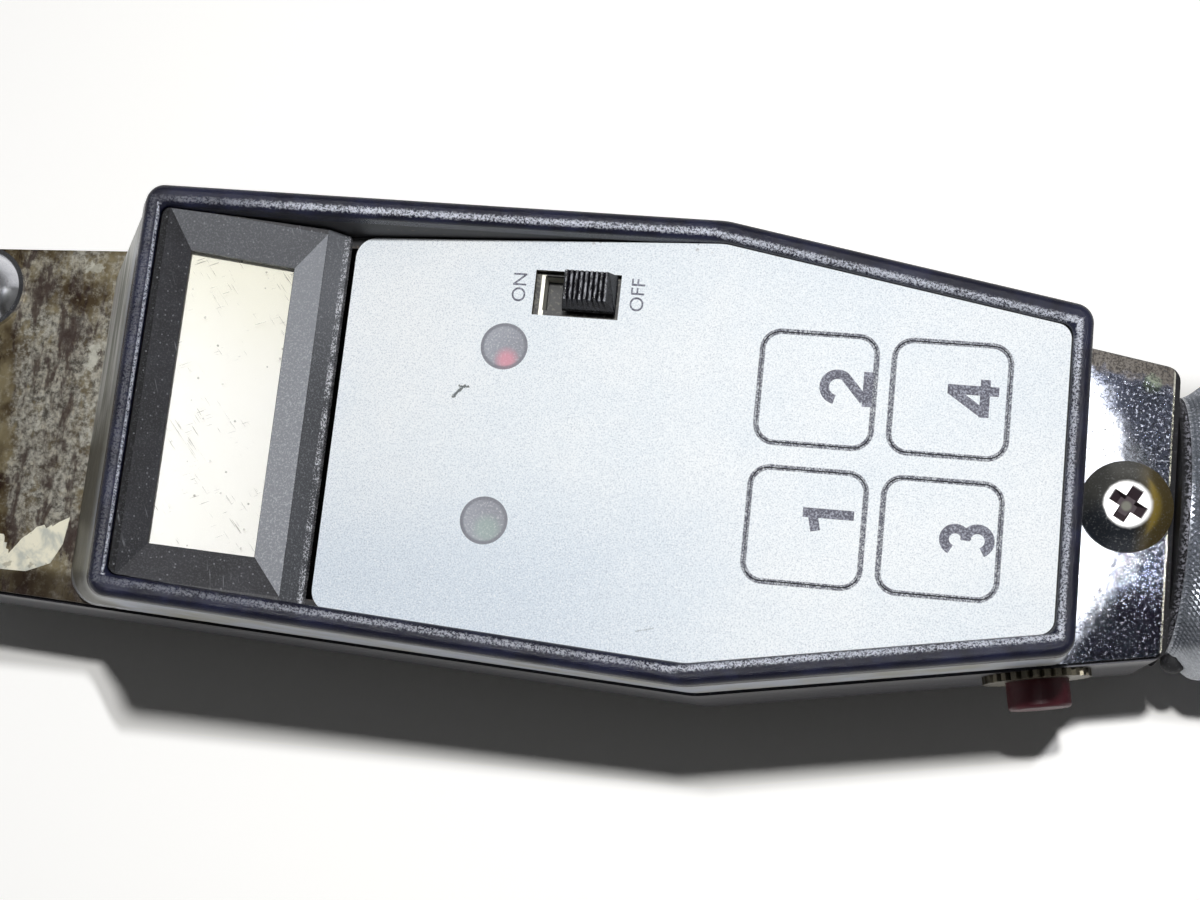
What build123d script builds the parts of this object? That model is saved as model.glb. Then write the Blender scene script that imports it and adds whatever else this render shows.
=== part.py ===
"""Digital torque wrench: a ratchet head on a sensing beam, a body with a raised display tray, and a
round battery grip.

Millimetres. The origin is at the centre of the square drive's end face. X runs along the wrench
towards the grip, Y across it and Z up, so the drive points down and the keypad faces up.
"""

import os
from math import atan, cos, degrees, radians, sin, sqrt, tan

from build123d import *

os.makedirs("parts", exist_ok=True)

# Long axis and grip. The grip and the end of the drive touch the same level, z = 0.
grip_diameter = 49.0
grip_shoulder = 3.5
grip_start_gap = 1.0
grip_end_gap = 2.0
axis_height = grip_diameter / 2
tube_diameter = 41.4
tube_bore = 36.2
tube_length = 133.5

# Ratchet head, a pear-shaped housing round the gear and the pawl
head_radius = 22.0
head_thickness = 26.0
pear_radius = 15.5
neck_half_width = 13.0
head_floor = 4.0
head_cover_thickness = 3.0
head_cover_margin = 3.2
head_edge_chamfer = 1.0
cover_screw_angles = [60, 150, 210, 300]
cover_screw_diameter = 2.6
cover_screw_length = 8.0
head_bottom = axis_height - head_thickness / 2
head_top = axis_height + head_thickness / 2
head_end_x = 45.0

# Square drive and ratchet gear
drive_square = 12.7
drive_chamfer = 1.0
drive_ball_diameter = 3.6
drive_ball_proud = 0.7
gear_teeth = 36
gear_tip_radius = 13.5
gear_pocket_gap = 1.0
tooth_depth = 1.3
tooth_gap_width = 3.15
journal_diameter = 22.0
hub_diameter = 14.0
running_gap = 0.06
end_gap = 0.1

# Pawl, and the lever that rocks it and clicks into place with a sprung ball
pawl_pivot_x = 24.0
pawl_pin_radius = 3.0
pawl_boss_radius = 5.0
pawl_rock = 8.0
pawl_nose_angle = 25.0
pawl_nose_depth = 2.6
pawl_nose_half_width = 1.7
pawl_bite = 1.0
pawl_clearance = 1.0
pawl_sweep_radius = 13.0
lever_swing = 20.0
lever_boss_radius = 6.5
lever_length = 15.0
lever_tip_radius = 3.6
lever_thickness = 4.6
lever_edge_round = 1.0
click_ball_diameter = 2.4
click_ball_reach = 9.5
click_hole_depth = 3.6
detent_hole_depth = 8.4
small_spring_wire = 0.4
small_spring_turns = 5
ball_hole_gap = 0.1

# Body: two straight flanks on each side that meet at the bend
body_height = 31.0
body_length = 218.5
head_gap = 3.0
bend_setback = 72.3
bend_half_width = 35.9
bend_round = 12.0
front_flank_slope = 0.048
rear_flank_slope = 0.177
front_corner = 6.0
rear_corner = 2.5
side_wall = 3.0
body_floor = 3.0
front_wall = 5.0
rear_block_length = 15.5
body_edge_chamfer = 1.5
body_front_x = head_end_x + head_gap
body_rear_x = body_front_x + body_length
bend_x = body_rear_x - bend_setback
bulkhead_x = body_rear_x - rear_block_length
body_bottom = axis_height - body_height / 2
body_top = axis_height + body_height / 2

# Round neck behind the body: a collar as wide as the tube, a hollow round between the two, and
# the spigot that the tube slides over
collar_length = 5.0
neck_hollow_radius = 2.2
spigot_length = 16.5
spigot_gap = 0.1
wire_bore = 10.0
tube_start_x = body_rear_x + collar_length
grip_start_x = tube_start_x + grip_start_gap
grip_length = tube_length - grip_start_gap - grip_end_gap

# Cover plate
cover_thickness = 1.5
cover_inset = 0.5
cover_rear_gap = 1.0
cover_bottom = body_top - cover_thickness

# Display tray and its rim, which is level behind the bend and rises towards the head
tray_front_setback = 40.0
tray_rear_setback = 14.5
tray_front_rake = 27.7
tray_rear_draft = 5.0
tray_foot_corner = 6.0
tray_rim_corner = 3.0
tray_outer_inset = 0.4
tray_wall = 2.8
tray_end_wall = 2.4
tray_floor = 2.5
ledge_width = 1.8
panel_height = 20.2
panel_thickness = 1.0
panel_gap = 0.3
rim_height = 1.75
rim_rise = 9.0
rim_fold_round = 30.0
tray_front_x = body_front_x + tray_front_setback
tray_rear_x = body_rear_x - tray_rear_setback
panel_top = body_top + panel_height
panel_bottom = panel_top - panel_thickness

# Edge trim over the rim
trim_width = 3.4
trim_end_width = 2.9
trim_height = 3.4
trim_cap = 1.4
trim_round = 1.2

# Display bezel, a moulding with a tilted window
window_length = 45.8
window_width = 16.0
window_tilt = 23.5
window_setback = 32.25
window_height = 6.8
bevel_depth = 2.5
bevel_run_x = 4.2
bevel_run_y = 5.7
bezel_length = 47.0
bezel_rear_step = 0.5
bezel_lip = 0.8
bezel_gap = 0.15
cell_margin = 2.6
display_window_thickness = 1.2
display_cell_thickness = 2.8

# Keypad panel: four keys, two lamps and a slide switch
panel_front_gap = 1.1
panel_front_corner = 3.3
panel_rear_corner = 2.3
key_pitch_x = 19.9
key_pitch_y = 21.1
key_setback = 32.0
key_size = 17.0
key_corner = 2.5
key_gap = 0.15
key_travel = 0.5
key_flange_margin = 0.8
key_flange_thickness = 0.85
key_stem_diameter = 4.0
key_stem_length = 0.5
lamp_setback = 16.55
lamp_y = 13.7
lamp_window_diameter = 7.4
lamp_diameter = 5.0
slot_setback = 6.1
slot_y = 22.7
slot_length = 13.5
slot_width = 7.2
knob_length = 7.2
knob_width = 5.3
knob_proud = 3.0
knob_travel = 3.6
knob_gap = 0.15
knob_side_step = 0.5
knob_foot = 1.0
knob_ribs = 8
knob_rib_depth = 0.4
switch_body_length = 20.0
switch_body_width = 9.5
switch_frame_gap = 1.0
bezel_rear_x = tray_front_x + bezel_length
panel_front_x = bezel_rear_x + panel_front_gap
key_centre_x = tray_rear_x - key_setback
panel_middle_x = (panel_front_x + key_centre_x) / 2
lamp_x = panel_middle_x - lamp_setback
slot_x = panel_middle_x - slot_setback
knob_x = slot_x + knob_travel / 2

# Circuit board inside the tray
board_thickness = 1.6
board_front_gap = 2.9
board_rear_gap = 10.0
board_side_gap = 7.0
board_corner = 2.0
board_hole_setback = 7.5
board_hole_margin = 3.7
standoff_across_flats = 5.0
key_rest_gap = 0.2
key_switch_size = 6.0
key_switch_height = 3.5
plunger_diameter = 3.4
plunger_height = 0.5
board_front_x = panel_front_x + board_front_gap
board_rear_x = tray_rear_x - board_rear_gap
key_bottom = panel_bottom - key_gap - key_flange_thickness - key_stem_length
board_top = key_bottom - key_travel - key_rest_gap - plunger_height - key_switch_height
board_bottom = board_top - board_thickness

# Small screws
small_screw_diameter = 3.0
small_head_diameter = 5.6
small_head_height = 1.8
small_head_round = 0.6
board_screw_reach = 4.4
small_nut_across_flats = 5.5
small_nut_thickness = 2.2
tray_screw_setback = 24.0
tray_screw_margin = 9.8
tray_screw_length = 6.5

# Screws seen on the cover
truss_screw_setback = 7.6
truss_head_diameter = 14.5
truss_head_height = 3.0
truss_screw_diameter = 6.35
truss_screw_length = 10.0
dome_bolt_setback = 17.0
dome_bolt_margin = 7.7
dome_diameter = 13.0
dome_flange_diameter = 14.6
dome_flange_height = 1.0
dome_height = 4.6
dome_bolt_diameter = 8.0
dome_bolt_length = 22.0
post_diameter = 14.0
wiring_window = 24.0
wiring_window_corner = 3.0
truss_screw_x = body_rear_x - truss_screw_setback
dome_bolt_x = body_front_x + dome_bolt_setback

# Sensing beam
tenon_width = 14.0
tenon_height = 16.0
tenon_length = 13.0
beam_width = 16.0
beam_room = 4.5
gauge_width = 11.0
gauge_setback = 39.0
gauge_length = 38.0
gauge_fillet = 2.0
shoulder_length = 8.0
flange_length = 30.0
flange_width = 40.0
flange_fillet = 4.0
anchor_margin = 7.25
anchor_diameter = 8.0
anchor_head_diameter = 13.0
anchor_head_height = 5.0
anchor_head_gap = 0.25
anchor_socket = 5.0
anchor_socket_depth = 2.5
anchor_depth = 3.5
head_pin_diameter = 5.0
head_pin_setback = 6.0
beam_gap = 1.2
beam_height = body_height - 2 * beam_room
head_pin_x = head_end_x - head_pin_setback
gauge_start_x = head_end_x + gauge_setback
gauge_end_x = gauge_start_x + gauge_length
flange_start_x = gauge_end_x + shoulder_length
flange_end_x = flange_start_x + flange_length
anchor_places = [
    (x, side * (flange_width / 2 - anchor_margin))
    for x in (flange_start_x + anchor_margin, flange_end_x - anchor_margin)
    for side in (-1, 1)
]
foil_length = 9.0
foil_width = 6.0
foil_thickness = 0.3
foil_spacing = 14.0

# Leads inside the body: from the gauges and from the batteries to the circuit board
gauge_lead_diameter = 1.6
gauge_lead_route = [
    (103.0, -6.6, 24.5),
    (110.5, -6.9, 25.6),
    (115.5, -6.8, 37.1),
    (137.0, -5.2, 36.9),
    (163.0, -2.6, 37.2),
    (187.5, -1.4, 37.3),
    (191.5, -1.0, 51.1),
]
battery_lead_diameter = 2.4
battery_lead_route = [
    (288.2, 0.0, 24.5),
    (266.5, 0.8, 24.1),
    (243.5, -1.0, 25.6),
    (221.5, 1.4, 29.0),
    (200.5, 3.0, 35.8),
    (197.0, 4.2, 51.0),
]
arc_share = 0.45

# Push button on the near flank
button_setback = 18.8
button_bushing_diameter = 12.0
button_bore_gap = 0.1
button_cap_diameter = 10.0
button_proud = 4.5
button_travel = 2.0
button_wall_gap = 0.15
button_body_diameter = 14.0
button_body_length = 14.0
ring_diameter = 17.2
ring_thickness = 1.2
ring_teeth = 30
ring_tooth_depth = 0.7
ring_tooth_half_width = 0.98
ring_below_cover = 1.0
button_cap_inside = 5.0
button_cap_round = 0.6
button_x = body_rear_x - button_setback

# Batteries and end cap
cell_rows = 2
cell_spacing_gap = 0.3
cell_side_gap = 0.45
cell_row_gap = 1.2
carrier_side_gap = 0.4
carrier_disc_thickness = 2.2
carrier_rod_diameter = 5.0
carrier_start_gap = 0.3
spring_diameter = 20.0
spring_wire = 1.2
spring_turns = 3
spring_length = 6.0
cap_diameter = 46.0
cap_length = 13.0
cap_flutes = 24
cap_flute_radius = 2.0
cap_flute_depth = 0.7
cap_plug_gap = 0.15
cap_plug_length = 7.0
cap_plug_floor = 3.9
cap_plug_wall = 2.5
cap_round = 5.0
tube_pin_diameter = 5.0
tube_pin_depth = 10.0
tube_pin_x = tube_start_x + spigot_length / 2


def half_width(x):
    """Half the body's width at x: the flanks widen as far as the bend and narrow behind it."""
    if x < bend_x:
        return bend_half_width - front_flank_slope * (bend_x - x)
    return bend_half_width - rear_flank_slope * (x - bend_x)


def flank_places(stations, margin):
    """A place near each flank at every station along the body, a margin in from the flank."""
    return [(x, side * (half_width(x) - margin)) for x in stations for side in (-1, 1)]


def body_outline(front_x, rear_x, inset, front_round, rear_round):
    """The six-sided outline between two ends, with all of its corners rounded."""
    front_half = half_width(front_x) - inset
    bend_half = bend_half_width - inset
    rear_half = half_width(rear_x) - inset
    with BuildSketch() as outline:
        with BuildLine():
            Polyline(
                (front_x, -front_half),
                (bend_x, -bend_half),
                (rear_x, -rear_half),
                (rear_x, rear_half),
                (bend_x, bend_half),
                (front_x, front_half),
                close=True,
            )
        make_face()
        fillet(outline.vertices().sort_by(Axis.X)[:2], front_round)
        bends = outline.vertices().filter_by_position(Axis.X, bend_x - end_gap, bend_x + end_gap)
        fillet(bends, bend_round - inset)
        fillet(outline.vertices().sort_by(Axis.X)[-2:], rear_round)
    return outline.sketch


def tray_outline(height, inset, end_inset):
    """The tray's outline at a height: its head end leans back and its grip end has draft."""
    rise = height - body_top
    front_x = tray_front_x + rise * tan(radians(tray_front_rake)) + end_inset
    rear_x = tray_rear_x - rise * tan(radians(tray_rear_draft)) - end_inset
    share = rise / (tray_top - body_top)
    front_round = tray_foot_corner + share * (tray_rim_corner - tray_foot_corner) - inset / 2
    return body_outline(front_x, rear_x, inset, front_round, tray_rim_corner - inset / 4)


def rim_level(x):
    """Height of the rim's top at x."""
    return panel_top + rim_height + max(0.0, bend_x - x) * tan(radians(rim_rise))


def beyond_rim(drop, upwards):
    """On the XZ plane, all that lies above or below the rim's line lowered by a drop."""
    far_front = tray_front_x - tray_end_wall
    far_rear = tray_rear_x + tray_end_wall
    far_height = tray_top + body_height if upwards else body_top - trim_height
    with BuildSketch() as region:
        with BuildLine():
            Polyline(
                (far_front, rim_level(far_front) - drop),
                (bend_x, rim_level(bend_x) - drop),
                (far_rear, rim_level(far_rear) - drop),
                (far_rear, far_height),
                (far_front, far_height),
                close=True,
            )
        make_face()
        fold = region.vertices().sort_by(lambda corner: abs(corner.X - bend_x))[0]
        fillet(fold, rim_fold_round)
    return region.sketch


# The tray's flat end walls meet the rim where the leaning front wall reaches it.
rake_run = tan(radians(tray_front_rake))
rim_run = tan(radians(rim_rise))
tray_top = body_top + (rim_level(tray_front_x) - body_top) / (1 + rake_run * rim_run)
tray_inner_inset = tray_outer_inset + tray_wall
tray_inner_end = tray_outer_inset + tray_end_wall
key_places = [
    (key_centre_x + column * key_pitch_x / 2, row * key_pitch_y / 2)
    for column in (-1, 1)
    for row in (-1, 1)
]
lamp_places = [(lamp_x, -lamp_y), (lamp_x, lamp_y)]
dome_places = flank_places([dome_bolt_x], dome_bolt_margin)
tray_screw_places = flank_places([tray_front_x + tray_screw_setback, bend_x], tray_screw_margin)
board_hole_places = flank_places(
    [board_front_x + board_hole_setback, board_rear_x - board_hole_setback],
    board_side_gap + board_hole_margin,
)


def pear_outline(shrink):
    """The pear outline of the head, made smaller all round."""
    with BuildSketch() as outline:
        Circle(head_radius - shrink)
        with Locations((pawl_pivot_x, 0)):
            Circle(pear_radius - shrink)
        make_hull()
    return outline.sketch


def small_spring(start, direction, length, diameter):
    """A coil of thin wire that starts at a point and fills a length along a direction."""
    pitch = (length - small_spring_wire) / small_spring_turns
    with BuildPart() as spring:
        with BuildLine() as coil:
            Helix(
                pitch,
                pitch * small_spring_turns,
                (diameter - small_spring_wire) / 2,
                center=start + direction * small_spring_wire / 2,
                direction=tuple(direction),
            )
        with BuildSketch(Plane(origin=coil.line @ 0, z_dir=coil.line % 0)):
            Circle(small_spring_wire / 2)
        sweep()
    return spring.part


# Ratchet head housing: a pear outline with a round gear pocket, a pawl pocket and a socket
# for the beam's tenon. The cover sits in a recess in the top.
gear_pocket_radius = gear_tip_radius + gear_pocket_gap
gear_bottom = head_bottom + head_floor + end_gap
cover_seat = head_top - head_cover_thickness
gear_top = cover_seat - end_gap
gear_height = gear_top - gear_bottom

cover_rim_radius = head_radius - head_cover_margin - end_gap
cover_screw_head = cover_rim_radius - gear_pocket_radius - 2 * end_gap
cover_screw_circle = (gear_pocket_radius + cover_rim_radius) / 2
cover_screw_places = [
    (cover_screw_circle * cos(radians(angle)), cover_screw_circle * sin(radians(angle)))
    for angle in cover_screw_angles
]

with BuildPart() as head_housing:
    with BuildSketch(Plane.XY.offset(head_bottom)):
        add(pear_outline(0))
        with Locations((head_end_x / 2, 0)):
            Rectangle(head_end_x, 2 * neck_half_width)
    extrude(amount=head_thickness)
    chamfer(head_housing.edges().group_by(Axis.Z)[0], head_edge_chamfer)
    with BuildSketch(Plane.XY.offset(head_top)):
        add(pear_outline(head_cover_margin))
    extrude(amount=-head_cover_thickness, mode=Mode.SUBTRACT)
    with BuildSketch(Plane.XY.offset(cover_seat)):
        with Locations((pawl_pivot_x / 2, 0)):
            Circle(pawl_sweep_radius)
        with Locations((pawl_pivot_x, 0)):
            Circle(pawl_boss_radius + pawl_clearance)
        make_hull()
        Circle(gear_pocket_radius)
    extrude(amount=head_bottom + head_floor - cover_seat, mode=Mode.SUBTRACT)
    with Locations((0, 0, head_bottom)):
        Hole(journal_diameter / 2 + running_gap)
    with BuildSketch(Plane.YZ.offset(head_end_x)):
        with Locations((0, axis_height)):
            Rectangle(tenon_width, tenon_height)
    extrude(amount=-tenon_length, mode=Mode.SUBTRACT)
    with Locations((head_pin_x, 0, axis_height)):
        Cylinder(head_pin_diameter / 2, head_thickness * 2, mode=Mode.SUBTRACT)
    with Locations(*[(x, y, head_top) for x, y in cover_screw_places]):
        Hole(cover_screw_diameter / 2, depth=cover_screw_length)
head_housing.part.label = "head_housing"
export_step(head_housing.part, "parts/head_housing.step")

# Head cover: a thin pear-shaped lid with holes for the gear's hub and the lever's post
with BuildPart() as head_cover:
    with BuildSketch(Plane.XY.offset(cover_seat)):
        add(pear_outline(head_cover_margin + end_gap))
    extrude(amount=head_cover_thickness)
    with Locations((0, 0, head_top)):
        Hole(hub_diameter / 2 + running_gap)
    with Locations((pawl_pivot_x, 0, head_top)):
        Hole(pawl_pin_radius + running_gap)
    with Locations(*[(x, y, head_top) for x, y in cover_screw_places]):
        CounterSinkHole(cover_screw_diameter / 2, cover_screw_head / 2)
head_cover.part.label = "head_cover"
export_step(head_cover.part, "parts/head_cover.step")

# Screws of the head cover, countersunk flush with its top
with BuildPart() as head_cover_screws:
    for x, y in cover_screw_places:
        with Locations((x, y, head_top - cover_screw_length / 2)):
            Cylinder(cover_screw_diameter / 2, cover_screw_length)
        with BuildSketch(Plane.XY.offset(head_top)):
            with Locations((x, y)):
                Circle(cover_screw_head / 2)
        extrude(amount=(cover_screw_diameter - cover_screw_head) / 2, taper=45)
head_cover_screws.part.label = "head_cover_screws"
export_step(head_cover_screws.part, "parts/head_cover_screws.step")

# Ratchet gear: a ring of V teeth, a journal that turns in the housing's floor, a hub that turns
# in the cover, and the square drive below, cross-drilled for its detent ball and spring
drive_ball_height = drive_square / 2

with BuildPart() as drive_gear:
    with BuildSketch(Plane.XY.offset(gear_bottom)):
        Circle(gear_tip_radius)
        with PolarLocations(gear_tip_radius, gear_teeth, start_angle=180 / gear_teeth):
            Polygon(
                (-tooth_depth, 0),
                (tooth_depth / 2, -tooth_gap_width / 2),
                (tooth_depth / 2, tooth_gap_width / 2),
                align=None,
                mode=Mode.SUBTRACT,
            )
    extrude(amount=gear_height)
    with BuildSketch(Plane.XY.offset(gear_bottom)):
        Circle(journal_diameter / 2)
    extrude(amount=head_bottom - gear_bottom)
    with BuildSketch(Plane.XY.offset(gear_top)):
        Circle(hub_diameter / 2)
    extrude(amount=head_top - gear_top)
    with BuildSketch(Plane.XY):
        Rectangle(drive_square, drive_square)
    extrude(amount=head_bottom)
    chamfer(drive_gear.edges().group_by(Axis.Z)[0], drive_chamfer)
    with BuildSketch(Plane.XZ.offset(-drive_square / 2)):
        with Locations((0, drive_ball_height)):
            Circle(drive_ball_diameter / 2)
    extrude(amount=detent_hole_depth, mode=Mode.SUBTRACT)
drive_gear.part.label = "drive_gear"
export_step(drive_gear.part, "parts/drive_gear.step")

detent_ball_y = drive_square / 2 + drive_ball_proud - drive_ball_diameter / 2

with BuildPart() as detent_ball:
    with Locations((0, detent_ball_y, drive_ball_height)):
        Sphere(drive_ball_diameter / 2)
detent_ball.part.label = "detent_ball"
export_step(detent_ball.part, "parts/detent_ball.step")

detent_hole_end_y = drive_square / 2 - detent_hole_depth
detent_spring_end_y = detent_ball_y - drive_ball_diameter / 2 - end_gap

with BuildPart() as detent_spring:
    add(
        small_spring(
            Vector(0, detent_hole_end_y + end_gap, drive_ball_height),
            Vector(0, 1, 0),
            detent_spring_end_y - detent_hole_end_y - end_gap,
            drive_ball_diameter - 2 * ball_hole_gap,
        )
    )
detent_spring.part.label = "detent_spring"
export_step(detent_spring.part, "parts/detent_spring.step")

# Pawl: a rocker with a nose on each side. It stands rocked so that one nose sits in a tooth gap.
pawl_plane = Plane(
    origin=(pawl_pivot_x, 0, gear_bottom),
    x_dir=(cos(radians(pawl_rock)), sin(radians(pawl_rock)), 0),
    z_dir=(0, 0, 1),
)
nose_tip_radius = gear_tip_radius - pawl_bite
engaged_tip = Vector(
    nose_tip_radius * cos(radians(pawl_nose_angle)) - pawl_pivot_x,
    nose_tip_radius * sin(radians(pawl_nose_angle)),
)
nose_tip = engaged_tip.rotate(Axis.Z, -pawl_rock)
nose_lean = pawl_nose_angle - pawl_rock

with BuildPart() as pawl:
    with BuildSketch(pawl_plane):
        Circle(pawl_boss_radius)
        for side in (-1, 1):
            along = Vector(cos(radians(nose_lean)), side * sin(radians(nose_lean)))
            across = Vector(-along.Y, along.X) * side
            tip = Vector(nose_tip.X, side * nose_tip.Y)
            base = tip + along * pawl_nose_depth
            corners = [tip, base + across * pawl_nose_half_width, base - across * pawl_nose_half_width]
            with BuildLine():
                Polyline(*[(corner.X, corner.Y) for corner in corners], close=True)
            make_face()
            with BuildLine():
                Polyline(
                    (corners[1].X, corners[1].Y),
                    (corners[2].X, corners[2].Y),
                    (0, -side * pawl_boss_radius / 2),
                    (0, side * pawl_boss_radius),
                    close=True,
                )
            make_face()
        Circle(pawl_pin_radius + running_gap, mode=Mode.SUBTRACT)
    extrude(amount=gear_height - end_gap)
pawl.part.label = "pawl"
export_step(pawl.part, "parts/pawl.step")

# Reversing lever: a thumb lever on the cover with a post that carries the pawl. A blind hole in
# its underside holds the click ball and its spring.
lever_plane = Plane(
    origin=(pawl_pivot_x, 0, head_top + end_gap),
    x_dir=(cos(radians(lever_swing)), sin(radians(lever_swing)), 0),
    z_dir=(0, 0, 1),
)

with BuildPart() as reversing_lever:
    with BuildSketch(lever_plane):
        Circle(lever_boss_radius)
        with Locations((lever_length, 0)):
            Circle(lever_tip_radius)
        make_hull()
    extrude(amount=lever_thickness)
    fillet(reversing_lever.edges().group_by(Axis.Z)[-1], lever_edge_round)
    with BuildSketch(lever_plane):
        Circle(pawl_pin_radius)
    extrude(amount=gear_bottom - head_top - end_gap)
    with BuildSketch(lever_plane):
        with Locations((click_ball_reach, 0)):
            Circle(click_ball_diameter / 2 + ball_hole_gap)
    extrude(amount=click_hole_depth, mode=Mode.SUBTRACT)
reversing_lever.part.label = "reversing_lever"
export_step(reversing_lever.part, "parts/reversing_lever.step")

click_place = lever_plane.origin + lever_plane.x_dir * click_ball_reach

with BuildPart() as click_ball:
    with Locations((click_place.X, click_place.Y, head_top + running_gap + click_ball_diameter / 2)):
        Sphere(click_ball_diameter / 2)
click_ball.part.label = "click_ball"
export_step(click_ball.part, "parts/click_ball.step")

click_spring_bottom = head_top + running_gap + click_ball_diameter + running_gap
click_hole_top = head_top + end_gap + click_hole_depth

with BuildPart() as click_spring:
    add(
        small_spring(
            Vector(click_place.X, click_place.Y, click_spring_bottom),
            Vector(0, 0, 1),
            click_hole_top - click_spring_bottom - running_gap,
            click_ball_diameter,
        )
    )
click_spring.part.label = "click_spring"
export_step(click_spring.part, "parts/click_spring.step")

# Sensing beam: a tenon in the head's socket, a waisted length for the gauges and a bolted flange
beam_bottom = axis_height - beam_height / 2
beam_top = axis_height + beam_height / 2
beam_start_x = head_end_x + end_gap

with BuildPart() as sensing_beam:
    with BuildSketch(Plane.XY.offset(beam_bottom)):
        with BuildLine():
            Polyline(
                (beam_start_x, -beam_width / 2),
                (gauge_start_x, -beam_width / 2),
                (gauge_start_x, -gauge_width / 2),
                (gauge_end_x, -gauge_width / 2),
                (gauge_end_x, -beam_width / 2),
                (flange_start_x, -beam_width / 2),
                (flange_start_x, -flange_width / 2),
                (flange_end_x, -flange_width / 2),
                (flange_end_x, 0),
                (beam_start_x, 0),
                close=True,
            )
        make_face()
        mirror(about=Plane.XZ)
    extrude(amount=beam_height)
    waist_half = gauge_width / 2 + end_gap
    waist = sensing_beam.edges().filter_by(Axis.Z).filter_by_position(Axis.Y, -waist_half, waist_half)
    fillet(waist.filter_by_position(Axis.X, gauge_start_x, gauge_end_x), gauge_fillet)
    upright = sensing_beam.edges().filter_by(Axis.Z)
    fillet(upright.filter_by_position(Axis.X, flange_start_x, flange_end_x), flange_fillet)
    with BuildSketch(Plane.YZ.offset(beam_start_x)):
        with Locations((0, axis_height)):
            Rectangle(tenon_width, tenon_height)
    extrude(amount=-tenon_length)
    with Locations((head_pin_x, 0, axis_height)):
        Cylinder(head_pin_diameter / 2, beam_height, mode=Mode.SUBTRACT)
    with Locations(*[(x, y, beam_top) for x, y in anchor_places]):
        CounterBoreHole(
            anchor_diameter / 2,
            anchor_head_diameter / 2 + anchor_head_gap,
            anchor_head_height + anchor_head_gap,
        )
sensing_beam.part.label = "sensing_beam"
export_step(sensing_beam.part, "parts/sensing_beam.step")

with BuildPart() as head_pin:
    with Locations((head_pin_x, 0, axis_height)):
        Cylinder(head_pin_diameter / 2, head_thickness - 2 * running_gap)
head_pin.part.label = "head_pin"
export_step(head_pin.part, "parts/head_pin.step")

# Foil gauges: two on each side of the waisted length
gauge_middle_x = (gauge_start_x + gauge_end_x) / 2

with BuildPart() as strain_gauges:
    for side in (-1, 1):
        for place in (-1, 1):
            with Locations(
                (
                    gauge_middle_x + place * foil_spacing / 2,
                    side * (gauge_width + foil_thickness) / 2,
                    axis_height,
                )
            ):
                Box(foil_length, foil_thickness, foil_width)
strain_gauges.part.label = "strain_gauges"
export_step(strain_gauges.part, "parts/strain_gauges.step")

# Anchor screws: socket heads sunk in the flange, threads in the body's floor bosses
anchor_head_bottom = beam_top - anchor_head_height - anchor_head_gap
boss_height = beam_bottom - body_bottom - body_floor

with BuildPart() as anchor_screws:
    with BuildSketch(Plane.XY.offset(anchor_head_bottom)):
        with Locations(*anchor_places):
            Circle(anchor_head_diameter / 2)
    extrude(amount=anchor_head_height)
    with BuildSketch(Plane.XY.offset(anchor_head_bottom)):
        with Locations(*anchor_places):
            Circle(anchor_diameter / 2)
    extrude(amount=beam_bottom - anchor_depth - anchor_head_bottom)
    with BuildSketch(Plane.XY.offset(anchor_head_bottom + anchor_head_height)):
        with Locations(*anchor_places):
            RegularPolygon(anchor_socket / 2, 6, major_radius=False)
    extrude(amount=-anchor_socket_depth, mode=Mode.SUBTRACT)
anchor_screws.part.label = "anchor_screws"
export_step(anchor_screws.part, "parts/anchor_screws.step")

# Body casting: an open trough with posts and bosses, a mouth for the beam, a bulkhead behind,
# and a round collar and spigot that carry the handle tube
button_lean = degrees(atan(rear_flank_slope))
button_height = body_top - ring_below_cover - ring_diameter / 2
button_face = Vector(button_x, -half_width(button_x), button_height)
button_inwards = Vector(-sin(radians(button_lean)), cos(radians(button_lean)), 0)
button_plane = Plane(origin=button_face, x_dir=(0, 0, 1), z_dir=button_inwards)
button_seat = button_plane.offset(side_wall)
spigot_diameter = tube_bore - spigot_gap
mouth_width = beam_width + 2 * beam_gap
mouth_height = beam_height + 2 * beam_gap

# The neck's hollow round, kept within the body's height
neck_radius = tube_diameter / 2
neck_flare_radius = neck_radius + neck_hollow_radius

with BuildPart() as neck_flare:
    with BuildSketch(Plane.XZ):
        with BuildLine():
            Polyline(
                (body_rear_x + neck_hollow_radius, axis_height + neck_radius),
                (body_rear_x + neck_hollow_radius, axis_height),
                (body_rear_x, axis_height),
                (body_rear_x, axis_height + neck_flare_radius),
            )
            RadiusArc(
                (body_rear_x, axis_height + neck_flare_radius),
                (body_rear_x + neck_hollow_radius, axis_height + neck_radius),
                -neck_hollow_radius,
            )
        make_face()
    revolve(axis=Axis((0, 0, axis_height), (1, 0, 0)))
    with BuildSketch(Plane.XY.offset(body_bottom)):
        with Locations((body_rear_x, 0)):
            Rectangle(collar_length * 2, half_width(body_rear_x) * 2)
    extrude(amount=cover_bottom - body_bottom, mode=Mode.INTERSECT)

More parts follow.
